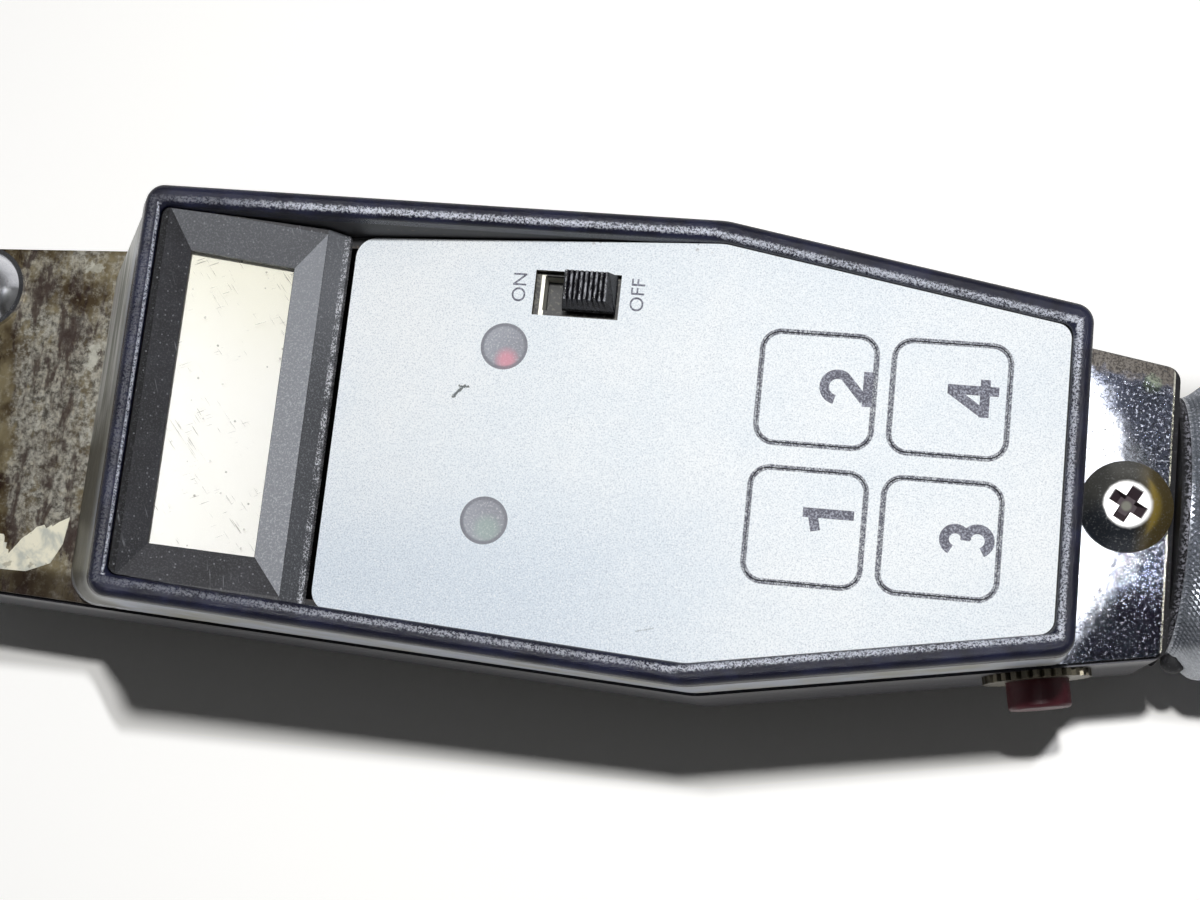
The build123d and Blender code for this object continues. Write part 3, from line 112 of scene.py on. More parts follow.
# %% Wires between nodes
class Wire:
    """One socket in a finish's graph. Sums on it add Math nodes."""

    def __init__(self, tree, socket=None):
        self.tree, self.socket = tree, socket

    def node(self, kind, settings=None, sockets=None, output=0):
        """Adds a node: its settings first, then its sockets' values or wires."""
        made = self.tree.nodes.new("ShaderNode" + kind)
        for name, setting in (settings or {}).items():
            setattr(made, name, setting)
        for name, value in (sockets or {}).items():
            if isinstance(value, Wire):
                self.tree.links.new(value.socket, made.inputs[name])
            else:
                made.inputs[name].default_value = value
        return Wire(self.tree, made.outputs[output] if made.outputs else None)

    def maths(self, operation, a, b=0.0):
        return self.node("Math", {"operation": operation}, {0: a, 1: b})

    def __add__(self, other):
        return self.maths("ADD", self, other)

    def __sub__(self, other):
        return self.maths("SUBTRACT", self, other)

    def __rsub__(self, other):
        return self.maths("SUBTRACT", other, self)

    def __mul__(self, other):
        return self.maths("MULTIPLY", self, other)

    def __truediv__(self, other):
        return self.maths("DIVIDE", self, other)

    def __and__(self, other):
        return self.maths("MINIMUM", self, other)

    def __or__(self, other):
        return self.maths("MAXIMUM", self, other)

    def __abs__(self):
        return self.maths("ABSOLUTE", self)

    def root(self):
        return self.maths("SQRT", self)

    __radd__ = __add__
    __rmul__ = __mul__


print("operators of a wire:", "+ - * / & | abs")

# %% [markdown]
# ## Colours, places and masks
# Each finish needs the same few words: a colour as it looks on screen, a place on the wrench
# in millimetres, a soft step between two values and some noise of a known grain. UV maps
# could give the places, but the solids come without any. Object coordinates need none, and
# because every solid's object sits at the origin they are the wrench's own coordinates.

# %% Colour, place and step
def paint(code):
    """A colour written as on screen, such as "8a7f63", in the linear values of a shader."""
    shares = [int(code[i:i + 2], 16) / 255 for i in (0, 2, 4)]
    return (*[s / 12.92 if s <= 0.04045 else ((s + 0.055) / 1.055) ** 2.4 for s in shares], 1.0)


def place_of(tree):
    """The place on the wrench, in millimetres."""
    metres = Wire(tree).node("TexCoord", output="Object")
    return metres.node("VectorMath", {"operation": "SCALE"}, {0: metres, "Scale": 1000.0})


def xyz(place):
    return [place.node("SeparateXYZ", {}, {0: place}, output=i) for i in range(3)]


def step(value, low, high):
    """0 below low, 1 above high and a soft rise between. Low above high turns it over."""
    if low > high:
        return 1 - step(value, high, low)
    sockets = {"Value": value, "From Min": low, "From Max": high}
    return value.node("MapRange", {"interpolation_type": "SMOOTHSTEP"}, sockets)


def mix(factor, a, b):
    """Colour a where factor is 0, b where it is 1. Each is a wire or a code as paint takes it."""
    a, b = [paint(colour) if isinstance(colour, str) else colour for colour in (a, b)]
    wire = next(item for item in (factor, a, b) if isinstance(item, Wire))
    return wire.node("Mix", {"data_type": "RGBA"}, {0: factor, 6: a, 7: b}, output=2)


def length(east, north):
    """How far a place lies from where both values are 0."""
    return (east * east + north * north).root()


def stretch(place, x, y, z):
    """The place scaled on each axis, so that a pattern runs along or across."""
    return place.node("VectorMath", {"operation": "MULTIPLY"}, {0: place, 1: (x, y, z)})


print("half grey on screen is", round(paint("808080")[0], 3), "in a shader")


# %% Noise and specks
def cloud(place, grain, detail=3.0, roughness=0.55, warp=0.0):
    """Soft noise whose blotches are about grain millimetres across."""
    sockets = {"Vector": place, "Scale": 1 / grain, "Detail": detail, "Roughness": roughness,
               "Distortion": warp}
    return place.node("TexNoise", {}, sockets)


def cells(place, grain, output="Distance"):
    """Cells about grain millimetres apart: the distance to the nearest, or its random colour."""
    return place.node("TexVoronoi", {}, {"Vector": place, "Scale": 1 / grain}, output=output)


def specks(place, grain, size, share):
    """Round specks in a share of the cells, size being the speck's part of its cell."""
    chosen = xyz(cells(place, grain, "Color"))[0]
    return step(cells(place, grain), size, size * 0.6) & step(chosen, 1 - share, 1.02 - share)


def scratches(place, length, width, share, turn):
    """Thin straight scratches that run at turn degrees across the top faces."""
    sockets = {"Vector": place, "Angle": math.radians(turn)}
    turned = place.node("VectorRotate", {"rotation_type": "Z_AXIS"}, sockets)
    lines = cloud(stretch(turned, 1 / length, 1 / width, 1 / length), 1.0, 1.0)
    return step(lines, 1 - share, 1.03 - share)


def mark(place, start, end, width, ragged=0.0):
    """A single scratch or scuff from start to end, both (x, y) in millimetres."""
    x, y, _ = xyz(place)
    run = Vector(end) - Vector(start)
    along = ((x - start[0]) * run.x + (y - start[1]) * run.y) / run.length_squared
    along = (along | 0.0) & 1.0
    off_x, off_y = x - start[0] - along * run.x, y - start[1] - along * run.y
    off = length(off_x, off_y)
    if ragged:
        off = off + (cloud(place, width * 1.5, 4.0, 0.7) - 0.5) * ragged
    return step(off, width, width * 0.5)


def facing(place):
    """How far a face looks east, north and up, each from -1 to 1."""
    return xyz(place.node("NewGeometry", output="Normal"))


print("patterns:", "cloud cells specks scratches mark")


# %% [markdown]
# ## One way to build a finish
# Every finish ends in a Principled shader. Numbers that hold all over the surface are set on
# its sockets, and only what changes over the surface is wired in. Height goes through a Bump
# node, whose distance is the real depth of the marks.

# %% Finish
def finish(name, build, **constants):
    """A material: constants on the shader's sockets, then what build(place) returns for others."""
    material = bpy.data.materials.new(name)
    material.use_nodes = True
    tree = material.node_tree
    shader = tree.nodes["Principled BSDF"]
    for socket, value in constants.items():
        shader.inputs[socket.replace("_", " ").title().replace("Ior", "IOR")].default_value = value
    place = place_of(tree)
    for socket, value in build(place).items():
        tree.links.new(value.socket, shader.inputs[socket])
    return material


def relief(height, depth, strength=1.0):
    """A normal from a height between 0 and 1 whose real depth is given in millimetres."""
    return height.node("Bump", {}, {"Height": height, "Distance": depth * MM, "Strength": strength})


finishes = {}


def dress(material, *nodes):
    """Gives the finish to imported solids."""
    for node in nodes:
        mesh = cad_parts[node].data
        mesh.materials.clear()
        mesh.materials.append(material)
        finishes[node] = material.name
    print(material.name, "on", *nodes)


# %% [markdown]
# ## The plated cover
# Under the tray lies a steel cover. Behind the tray its plating is still bright, with pits
# and a brown stain along the edge. A bright reflection is painted round the screw; beyond it
# the plating is duller, with more pits, and a darker reflection, glints, shade toward the south
# and a highlight along its end are painted. In front of the tray the plating is tarnished olive
# brown and grey glue from a label has dried on it in swirls. Two materials could be used, but
# the cover is one solid, so one finish changes along the wrench.

# %% Cover plate
TARNISH_END, COVER_END = 150.0, 265.3
DIMPLE_X, DIMPLE_Y = 262.0, 20.1


def worn_plating(place):
    """Olive brown with rust streaks, and grey glue in grains where the label was."""
    x, y, _ = xyz(place)
    streaks = cloud(stretch(place, 1.0, 0.3, 1.0), 2.6, 5.0, 0.65, 0.3)
    drift = cloud(place, 7.0, 4.0, 0.6, 0.4)
    crumbs = cloud(place, 1.1, 5.0, 0.78)
    bare = step(x + y * 0.11, 75.5, 71.0) * 0.3
    bare = bare + step(y, 8.0, 26.0) * 0.14 + step(y, -14.0, -26.0) * 0.2
    glue = step(drift * 0.9 + streaks * 0.8 + crumbs * 0.3 - bare, 0.72, 1.02)
    grey = mix(step(crumbs, 0.36, 0.66), "3b362e", "b2b0a6")
    brown = mix(step(cloud(place, 7.0, 4.0), 0.38, 0.62), "544631", "95896a")
    brown = mix(step(streaks, 0.46, 0.6) * 0.8, brown, "2f1c13")
    brown = mix(step(crumbs, 0.52, 0.66) * 0.6, brown, "a59e8a")
    tone = mix(glue * step(streaks + crumbs * 0.6, 1.04, 0.74), brown, grey)
    rust = step(streaks + cloud(place, 1.6, 3.0) * 0.3, 0.67, 0.77)
    tone = mix(rust * 0.7, tone, "2a1610")
    scuffs = mark(place, (83.4, 27.0), (84.9, 27.2), 1.0, 4.0)
    scuffs = scuffs | mark(place, (86.2, 9.9), (86.5, 13.4), 1.0, 4.0)
    tone = mix(scuffs * 0.6, tone, "c9c8bb")
    tone = mix(step(y, -24.5, -27.0) * 0.7, tone, "2c2018")
    return tone, glue, glue * crumbs


def bright_plating(place):
    """Bright with a painted reflection round the screw, duller beyond with more pits, a darker
    painted reflection and painted glints, stained along one edge.
    """
    x, y, _ = xyz(place)
    ragged = cloud(place, 2.5, 4.0) - 0.5
    top_edge = y + (x - 252.5) * 0.23
    stain = step(top_edge + ragged * 6.0, 21.3, 23.3)
    dimple = length(x - DIMPLE_X, y - DIMPLE_Y) + (cloud(place, 0.6, 3.0) - 0.5) * 1.4
    dull = step(x + abs(y) * 0.7 + ragged * 6.0, 265.0, 269.5)
    pits = step(cloud(place, 0.35, 5.0, 0.85) + dull * 0.07, 0.58, 0.65)
    shade = step(y, -8.0, -18.0)
    # Painted glints: pale, less metallic specks in the duller zone.
    glints = step(cloud(place, 0.5, 4.0, 0.8), 0.56, 0.64) * dull * (1 - shade * 0.6)
    # Painted reflection: bright round the screw and darker beyond it, with painted shade toward the
    # south.
    tone = mix(dull, "b4b8c2", mix(shade, "5e6373", "2e313a"))
    tone = mix(stain * 0.9, tone, "453822")
    tone = mix(step(dimple, 1.7, 1.2) * 0.6, tone, "7d8a72")
    tone = mix(glints * (1 - stain), mix(pits * 0.8, tone, "15151c"), "c9ccd8")
    # Painted highlight along the cover's end edge.
    tone = mix(step(x, COVER_END - 0.15, COVER_END + 0.05), tone, "b4b2a4")
    return tone, pits, stain | glints * 0.8


def plate_look(place):
    wear_and_highlight, glue, glue_height = worn_plating(place)
    bright, pits, matt = bright_plating(place)
    tarnish = step(xyz(place)[0], TARNISH_END, TARNISH_END - 20)
    dents = cloud(place, 5.0, 3.0)
    height = glue_height * tarnish + (dents * 0.3 - pits * 0.3) * (1 - tarnish)
    return {
        "Base Color": mix(tarnish, bright, wear_and_highlight),
        "Metallic": 1 - tarnish * (0.4 + glue * 0.35) - matt * (1 - tarnish) * 0.95,
        "Roughness": 0.05 + pits * 0.2 + matt * 0.3 + tarnish * (0.3 + glue * 0.2),
        "Normal": relief(height, 0.06, 0.6),
    }


dress(finish("plated_cover", plate_look), "top_cover")

# %% [markdown]
# ## The casting
# The beam's housing is a cast body whose dark satin skin has gone dull. Its grain is fine and
# has no direction, so one noise is enough, and a second one, drawn out along the wrench, adds
# long smears. The neck beside the cover's end is coarse, and painted near-black as shade in
# the groove there.

# %% Casting
def casting_look(place):
    grain = cloud(place, 0.5, 3.0, 0.7)
    smears = cloud(stretch(place, 0.15, 1.0, 1.0), 3.0, 4.0)
    tone = mix(step(smears, 0.3, 0.75), "1a1a1f", "2b2b32")
    x, _, z = xyz(place)
    neck_groove_shade, low = step(x, COVER_END - 0.8, COVER_END + 0.5), step(z, 37.0, 27.0)
    # Painted shade: the neck in the groove beside the cover's end is near-black.
    tone = mix(neck_groove_shade, tone, "101014")
    grit = step(grain, 0.58, 0.7)
    coarse = step(grain, 0.46, 0.58) * step(x, COVER_END + 1.3, COVER_END + 2.5)
    coarse = coarse * step(z, 27.6, 28.6) * 0.85
    return {
        "Base Color": mix(grit * 0.2 | coarse, tone, "9a9aa4"),
        "Metallic": 0.5 - low * 0.4,
        "Roughness": 0.34 + smears * 0.1 + (neck_groove_shade | low) * 0.3,
        "Normal": relief(grain, 0.06, 0.5),
    }


casting_finish = finish("body_casting", casting_look)
dress(casting_finish, "lower_housing")

# %% [markdown]
# ## The tray
# The tray's walls are milled and brushed up and down, and have gone olive. The brush marks
# follow the wall's height, so the noise is squeezed along the wall and stretched in z. Inside,
# the walls are black and a little dirty, and a wall counts as inside when it looks toward the
# tray's middle.

# %% Tray
TRAY_MIDDLE = (172.0, 0.0, 0.0)


def facing_in(place):
    """1 on walls that look toward the tray's middle, 0 on its outer walls."""
    flat = stretch(place, 1.0, 1.0, 0.0)
    toward = place.node("VectorMath", {"operation": "SUBTRACT"}, {0: TRAY_MIDDLE, 1: flat})
    sockets = {0: place.node("NewGeometry", output="Normal"), 1: toward}
    product = place.node("VectorMath", {"operation": "DOT_PRODUCT"}, sockets, output="Value")
    return step(product, 0.5, 4.0)


def tray_look(place):
    x, y, z = xyz(place)
    brush = cloud(stretch(place, 1.0, 0.12, 0.12), 0.4, 4.0, 0.7)
    patina = cloud(place, 9.0, 4.0)
    front = step(x, 104.0, 99.0)
    # Painted light and shade: the front wall is light, with bright milled grooves, toward its north
    # end and dark toward its south end.
    lit = step(y + patina * 14.0 + brush * 8.0, 4.0, 17.0)
    grooves = cloud(stretch(place, 1.0, 0.05, 0.0), 1.5, 3.0, 0.7)
    tone = mix(step(patina, 0.34, 0.72), "9aa0ad", "8a897f")
    milled = mix(step(grooves, 0.4, 0.6), "9ea098", "ececea")
    tone = mix(front, tone, mix(lit, "49473e", milled))
    tone = mix(step(brush, 0.56, 0.7) * 0.4, tone, "a9a793")
    # Painted reflection: a pale bluish patch low on the front wall's south end.
    foot = front & step(z, 47.0, 43.0) & step(y, -24.0, -28.0)
    tone = mix(foot * step(brush, 0.4, 0.6), tone, "c3c6cf")
    inside = facing_in(place) | step(facing(place)[2], 0.85, 0.95)
    dirt_and_shade = step(cloud(place, 0.7, 3.0), 0.62, 0.7)
    tone = mix(inside, tone, mix(dirt_and_shade * 0.6, "17171b", "574b3d"))
    return {
        "Base Color": tone,
        "Metallic": 0.8 - (inside * 0.8 | front * 0.5),
        "Roughness": 0.34 + patina * 0.2 + inside * 0.15,
        "Normal": relief(brush, 0.06, 0.6),
    }


dress(finish("tray_grey", tray_look), "display_housing")

# %% [markdown]
# ## The bead round the tray
# A glossy dark blue bead closes the tray's rim. The bead is rounded in the solid, so its gloss
# is left to the shader, but its highlight is painted as a ragged, grainy pale band along its
# inner half, at a set distance from the bead's inner edge, stronger on some sides than on
# others. Along the front only a thin broken painted highlight line is left.

# %% Bead
RIM_RUNS = ((0.05, 22.95), (-0.18, 67.2))
RIM_START, RIM_END = 108.8, 247.0


def past_rim(x, y):
    """How far a place lies outside the bead's inner edge."""
    front, rear = [x * slope + start for slope, start in RIM_RUNS]
    return (abs(y) - (front & rear)) | (x - RIM_END) | (RIM_START - x)


def bead_look(place):
    """Dark blue, with a painted highlight as a ragged pale band along its inner half."""
    x, y, _ = xyz(place)
    across = past_rim(x, y)
    wander = cloud(place, 6.0, 4.0)
    chips = cloud(place, 0.35, 5.0, 0.85)
    north = step(y, 8.0, 14.0) & step(x, 110.0, 134.0)
    south = step(y, -12.0, -18.0) & (step(x, 110.0, 150.0) * 0.6 | step(x, 178.0, 196.0))
    painted_sheen = north | south | step(x, 243.0, 246.0) * 0.8 | step(x, 108.0, 112.0) * 0.25 | 0.12
    line = step(across, 0.0, 0.12) & step(across, 0.4, 0.26) & step(x, 109.2, 108.7)
    line = line & step(chips, 0.44, 0.56)
    core = step(across, 0.1, 0.8) & step(across, 2.1, 1.2)
    band = core * 0.5 + step(chips, 0.4, 0.62) * 0.5 + (wander - 0.5) * 0.3
    # Painted highlight: the pale band, weighted by side, and the thin broken line along the front.
    wear_and_highlight = step(band, 0.5, 0.85) * core * painted_sheen | line
    tone = mix(step(wander, 0.4, 0.65), "0a0c22", "1b1e38")
    return {
        "Base Color": mix(wear_and_highlight, tone, "d2d6e2"),
        "Roughness": 0.12 + chips * 0.16,
        "Normal": relief(chips * 0.4 + wander * 0.9, 0.28, 0.8),
    }


dress(finish("trim_gloss", bead_look, specular_ior_level=0.22), "edge_trim")

# %% [markdown]
# ## The bezel
# The window sits in a tilted frame of matt dark plastic, moulded with a fine grain and dusty
# with pale specks. Each bevel could have its own material, but they differ only in how much
# light they get, so a lighter painted tone and more pale specks follow the way that each face
# looks, lightest on the sill at the north end. Painted shade darkens the front rim, and a thin
# painted highlight runs along the sill's outer edge.

# %% Bezel
SILL_START, SILL_END = 132.3, 134.5


def bezel_look(place):
    x, y, _ = xyz(place)
    east, north, up = facing(place)
    grain = cloud(place, 0.3, 3.0, 0.8)
    dust = specks(place, 0.7, 0.25, 0.3)
    rubs = scratches(place, 9.0, 0.5, 0.3, 75) & step(cloud(place, 7.0), 0.5, 0.62)
    # Painted shade: a near-black strip on the up-facing front rim.
    front_rim_shade = step(up, 0.86, 0.9) & step(x, 116.0, 112.0)
    rear = step(east, 0.02, -0.08) & step(up, 0.5, 0.8)
    # Painted light: the sill is lighter toward its north end.
    bright_end = step(y, 0.0, 25.0)
    sill = step(x, SILL_START, SILL_START + 0.3) * (0.16 + bright_end * 0.3)
    # Painted light: bevels that face the light, and the sill, are painted lighter.
    painted_light_and_dust = step(north, -0.05, -0.3) * 0.32 | rear | sill
    tone = mix(step(cloud(place, 8.0, 4.0), 0.35, 0.7), "1c1c20", "29292e")
    tone = mix(painted_light_and_dust, tone, "8b8e94")
    tone = mix(front_rim_shade * 0.85, tone, "050507")
    specked = step(grain, 0.5, 0.64) * (0.1 + painted_light_and_dust * (0.9 - bright_end * 0.5))
    tone = mix((dust | rubs) * 0.35 | specked, tone, "b4b6bc")
    # Painted highlight: a thin broken line along the sill's outer edge.
    edge_highlight = step(x, SILL_END - 0.2, SILL_END) & step(grain + cloud(place, 3.0) * 0.4, 0.7, 0.8)
    return {
        "Base Color": mix(edge_highlight, tone, "d9dae0"),
        "Roughness": 0.5 + grain * 0.15 + front_rim_shade * 0.35,
        "Normal": relief(grain, 0.05, 0.5),
    }


dress(finish("bezel_dark", bezel_look), "display_bezel")

# %% [markdown]
# ## The window and the display behind it
# The window is a clear sheet over a blank cream display. Clear plastic could be real glass
# with refraction, but light would then barely reach the display in few samples. A thin clear
# coat with a low alpha shows the same and stays clean.

# %% Window
def window_look(place):
    hairs = scratches(place, 5.0, 0.18, 0.3, 52) | scratches(place, 4.0, 0.2, 0.28, -30)
    patches = step(cloud(place, 6.0), 0.5, 0.6)
    marks = (hairs & patches) | (specks(place, 1.9, 0.12, 0.2) * 0.8)
    return {"Base Color": mix(marks, "ffffff", "6d6455"), "Alpha": 0.03 + marks * 0.5}


window_finish = finish("window_clear", window_look, roughness=0.1)
dress(window_finish, "display_window")


# %% Display
def display_look(place):
    yellowed = cloud(place, 10.0, 3.0)
    _, y, _ = xyz(place)
    warm = step(y, 0.0, 26.0) * 0.7 + yellowed * 0.3
    return {"Base Color": mix(warm, "fbfaf5", "f0edd6"), "Roughness": 0.3 + yellowed * 0.1}


dress(finish("display_cream", display_look), "display_cell")

# %% [markdown]
# ## The keypad sheet
# The panel is a plastic sheet with silver grain, printed with a dark rounded square round
# each key. The squares could be meshes, but ink has no thickness, so the distance to a
# rounded square is worked out in the shader and the ink is where that distance is small. The
# same finish goes on the sheet and on the four keys, so the stroke that straddles the gap
# around a key meets itself.

# %% Panel and key faces
KEY_STROKE, KEY_FRAME, KEY_CORNER = 0.85, 17.3, 2.9
INK = "38384a"


def box_mm(node):
    """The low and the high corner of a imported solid, in millimetres."""
    return [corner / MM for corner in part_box(node)]


def key_middles():
    """The middle of each key's face."""
    for number in range(1, 5):
        low, high = box_mm(f"key_{number}")
        yield (low + high) / 2


def key_frames(x, y):
    """Where the ink of the keys' rounded squares lies."""
    ink = None
    for middle in key_middles():
        flat = KEY_FRAME / 2 - KEY_CORNER
        across = (abs(x - middle.x) - flat) | 0.0
        along = (abs(y - middle.y) - flat) | 0.0
        reach = length(across, along) - KEY_CORNER
        stroke = step(abs(reach), KEY_STROKE / 2 + 0.08, KEY_STROKE / 2 - 0.08)
        ink = stroke if ink is None else ink | stroke
    return ink


def sheet_look(place):
    x, y, _ = xyz(place)
    grain = cloud(place, 0.24, 3.0, 0.85)
    haze = cloud(place, 22.0, 3.0)
    tone = mix(step(haze, 0.35, 0.7), "e7eef3", "f0f4f6")
    # Painted shade: the sheet is a little darker toward its south-west corner.
    tone = mix((step(y, 0.0, -26.0) & step(x, 215.0, 165.0)) * 0.8, tone, "d3dee9")
    tone = mix(step(grain, 0.5, 0.62) * 0.5, tone, "98a2b2")
    tone = mix(step(grain, 0.46, 0.36) * 0.7, tone, "fafbfc")
    wear_and_highlight = step(cloud(place, 0.26, 3.0, 0.85), 0.42, 0.52)
    ink = key_frames(x, y) * (0.3 + wear_and_highlight * 0.65)
    pen = mark(place, (154.4, 5.2), (155.9, 6.9), 0.3, 1.3)
    pen = pen | mark(place, (155.2, 6.9), (156.6, 6.9), 0.22, 1.0)
    pen = pen | (mark(place, (186.4, -28.4), (189.0, -27.7), 0.12, 0.5) * 0.4)
    tone = mix(pen * 0.85, mix(ink, tone, INK), "2f3a38")
    rust = specks(place, 1.1, 0.3, 0.35) & step(y, 30.5, 32.0)
    tone = mix(rust * 0.7, tone, "5a4632")
    cut_edge = step(facing(place)[2], 0.7, 0.4)
    return {"Base Color": mix(cut_edge, tone, "4a4840"), "Roughness": 0.5 + grain * 0.2,
            "Normal": relief(grain, 0.02, 0.4)}


keypad = finish("panel_silver", sheet_look, metallic=0.05, specular_ior_level=0.25)
dress(keypad, "keypad_panel", "key_1", "key_2", "key_3", "key_4")

# %% [markdown]
# ## Lamps
# Each lamp is a clouded grey lens over a small coloured light that is off, and a little of
# the colour shows at one side. The lens could be see-through, but in few samples that gives
# only noise, so the colour is painted on it as a soft spot, with a dark rim round the lens.

# %% Lamps
LENS_RADIUS, RED_LAMP_Y = 3.7, 13.7


def lens_look(place):
    x, y, _ = xyz(place)
    low, high = box_mm("lamp_windows")
    middle = (low.x + high.x) / 2
    side = abs(y) - RED_LAMP_Y
    off = length(x - middle, side)
    grain = cloud(place, 0.35, 4.0, 0.75)
    shade = step(x - middle - side * 0.5, -3.5, 3.5)
    tone = mix(shade, "868a95", "6a6d79")
    tone = mix(step(grain, 0.48, 0.36) * 0.4, tone, "6f727c")
    tone = mix(step(grain, 0.52, 0.66) * 0.6, tone, "d2d5db")
    glow_x = x - middle - 0.6
    red, green = length(glow_x, y - RED_LAMP_Y + 2.1), length(glow_x, y + RED_LAMP_Y + 1.3)
    tone = mix(step(red + grain, 2.9, 1.0) * 0.65, tone, "dd7a90")
    tone = mix(step(green + grain, 3.4, 1.4) * 0.35, tone, "8ab09c")
    rim = step(off, LENS_RADIUS - 0.75, LENS_RADIUS - 0.35)
    return {"Base Color": mix(rim * 0.75, tone, "3f4252"), "Roughness": 0.22 + grain * 0.15,
            "Normal": relief(grain, 0.03, 0.4)}


def lamp_look(code):
    def look(place):
        mottle = cloud(place, 0.8, 2.0)
        return {"Base Color": mix(mottle, code, "30282a"), "Roughness": 0.25 + mottle * 0.1}
    return look


dress(finish("lamp_smoke", lens_look, coat_weight=0.4), "lamp_windows")
dress(finish("lamp_red", lamp_look("e0303f")), "red_lamp")
dress(finish("lamp_green", lamp_look("4f9a63")), "green_lamp")

# %% [markdown]
# ## Small plastics and metals
# The rest of the wrench is shared by a few plain finishes: black mouldings, bright screws,
# ground tool steel, rubber, and the parts under the cover. One recipe for plastics and one
# for metals serve them all, each with its own colours, grain and gloss.

# %% Recipes
def plastic(name, dark, light, grain=0.6, gloss=0.45, depth=0.03, **constants):
    def look(place):
        fine, broad = cloud(place, grain, 3.0, 0.6), cloud(place, grain * 14, 3.0)
        return {
            "Base Color": mix(step(broad, 0.35, 0.7) * 0.6 + fine * 0.4, dark, light),
            "Roughness": gloss + fine * 0.18,
            "Normal": relief(fine, depth, 0.5),
        }
    return finish(name, look, **constants)


def metal(name, dark, light, brush=(1.0, 1.0, 1.0), grain=0.6, gloss=0.22, pitted=0.0):
    def look(place):
        fine = cloud(stretch(place, *brush), grain, 4.0, 0.65)
        broad = cloud(place, grain * 16, 4.0)
        pits = specks(place, 0.9, 0.28, 0.3) * pitted
        tone = mix(step(broad, 0.35, 0.7) * 0.7 + fine * 0.3, dark, light)
        return {
            "Base Color": mix(pits, tone, "3a3838"),
            "Roughness": gloss + fine * 0.12 + pits * 0.3,
            "Normal": relief(fine - pits, 0.025, 0.5),
        }
    return finish(name, look, metallic=1.0)


# %% Head and drive
dress(metal("head_chrome", "9a9ca4", "c3c5cc", grain=1.2, gloss=0.12, pitted=0.35),
      "head_housing", "head_cover")
dress(metal("tool_steel", "6f7076", "9b9ca2", brush=(1.0, 1.0, 0.2), grain=0.35, gloss=0.28),
      "drive_gear", "pawl", "head_pin", "sensing_beam")
dress(metal("bright_steel", "9fa0a6", "cfd0d4", grain=0.5, gloss=0.14, pitted=0.3),
      "head_cover_screws", "anchor_screws", "front_bolts", "tray_screws", "tray_nuts",
      "board_screws", "tube_pins", "detent_ball", "detent_spring", "click_ball", "click_spring")
dress(plastic("lever_black", "1d1d1f", "303034", gloss=0.28, metallic=0.3), "reversing_lever")

# %% Handle
dress(metal("tube_steel", "86878c", "b0b1b6", brush=(0.2, 1.0, 1.0), grain=0.5, gloss=0.22),
      "handle_tube")
dress(plastic("cap_dark", "1e1e22", "34343a", gloss=0.38), "end_cap")
dress(metal("cell_sleeve", "8d8f96", "b4b6bc", brush=(0.1, 1.0, 1.0), gloss=0.25), "battery_cells")
dress(metal("spring_wire", "9d9fa4", "c6c8cc", grain=0.4, gloss=0.2), "battery_spring")
dress(plastic("carrier_black", "1c1c1e", "2e2e31", gloss=0.5), "battery_carrier")

# %% Switch and button
SLOT_X, SLOT_Y = 166.2, 26.0


def switch_look(place):
    """Black, with tin round the corner where the knob's slot begins."""
    x, y, z = xyz(place)
    east, north = x - SLOT_X, y - SLOT_Y
    side = step(abs(east), 0.4, 0.32) & step(z, 55.0, 55.3) & step(north, 0.2, 0.0)
    back = step(north, -0.2, -0.05) & step(z, 54.4, 54.6) & step(z, 57.4, 57.2)
    tinned = side | (back & step(east, 0.1, 0.2))
    fine = cloud(place, 0.5, 3.0)
    tin = mix(fine, "c9c8b6", "f6f5ea")
    ledge = step(east, 0.2, 0.0) & step(fine, 0.4, 0.6)
    dull = mix(step(fine, 0.55, 0.65) | ledge, "121212", "55534a")
    return {
        "Base Color": mix(tinned, dull, tin),
        "Metallic": tinned * 0.4,
        "Roughness": 0.35 + fine * 0.15,
    }


dress(finish("switch_tin", switch_look), "switch_body")


def knob_look(place):
    """Glossy black with painted highlights along its ribs' crests."""
    top = box_mm("switch_knob")[1].z
    fine = cloud(place, 0.5, 4.0, 0.7)
    ragged_shine = step(cloud(stretch(place, 1.0, 0.4, 1.0), 0.8, 4.0, 0.7), 0.44, 0.6)
    # Painted highlight along the ribs' crests.
    crest_highlight = step(xyz(place)[2], top - 0.2, top - 0.06) & ragged_shine
    tone = mix(step(fine, 0.45, 0.7), "0a0a10", "2b2b33")
    return {"Base Color": mix(crest_highlight * 0.8, tone, "a8aab2"), "Roughness": 0.12 + fine * 0.1,
            "Normal": relief(fine, 0.1, 0.6)}


knob_finish = finish("knob_black", knob_look)
dress(knob_finish, "switch_knob")
dress(metal("button_plate", "46423a", "7a7566", grain=0.5, gloss=0.34, pitted=0.4),
      "button_ring", "button_bushing")
dress(plastic("button_red", "2f0711", "5c0b1e", grain=1.5, gloss=0.4, depth=0.02,
              specular_ior_level=0.3), "button_cap")

# %% Under the cover
dress(plastic("board_green", "1d4a2c", "2b6a3d", grain=0.5, gloss=0.3), "circuit_board")
dress(metal("standoff_brass", "8e6f2f", "c5a256", grain=0.5, gloss=0.25),
      "board_standoffs", "strain_gauges")
dress(plastic("switch_black", "19191b", "2c2c30", gloss=0.4), "key_switches")
dress(plastic("seal_rubber", "1a1a1a", "2a2928", grain=0.8, gloss=0.65), "beam_seal")
dress(plastic("lead_grey", "6d6d70", "88888c", gloss=0.45), "gauge_lead")
dress(plastic("lead_red", "7c1f1f", "a52c2a", gloss=0.45), "battery_lead")

# %% [markdown]
# ## Bodies for new pieces
# What is added below is mesh code. Each piece gets a finish and the moving body that it
# rides on.

# %% Adding a piece
def add_piece(name, mesh, material, body):
    piece = stand(name, mesh)
    mesh.name = name
    mesh.materials.clear()
    mesh.materials.append(material)
    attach(piece, body)
    print(name, [round(value / MM, 1) for value in piece.dimensions], "mm on", body)
    return piece


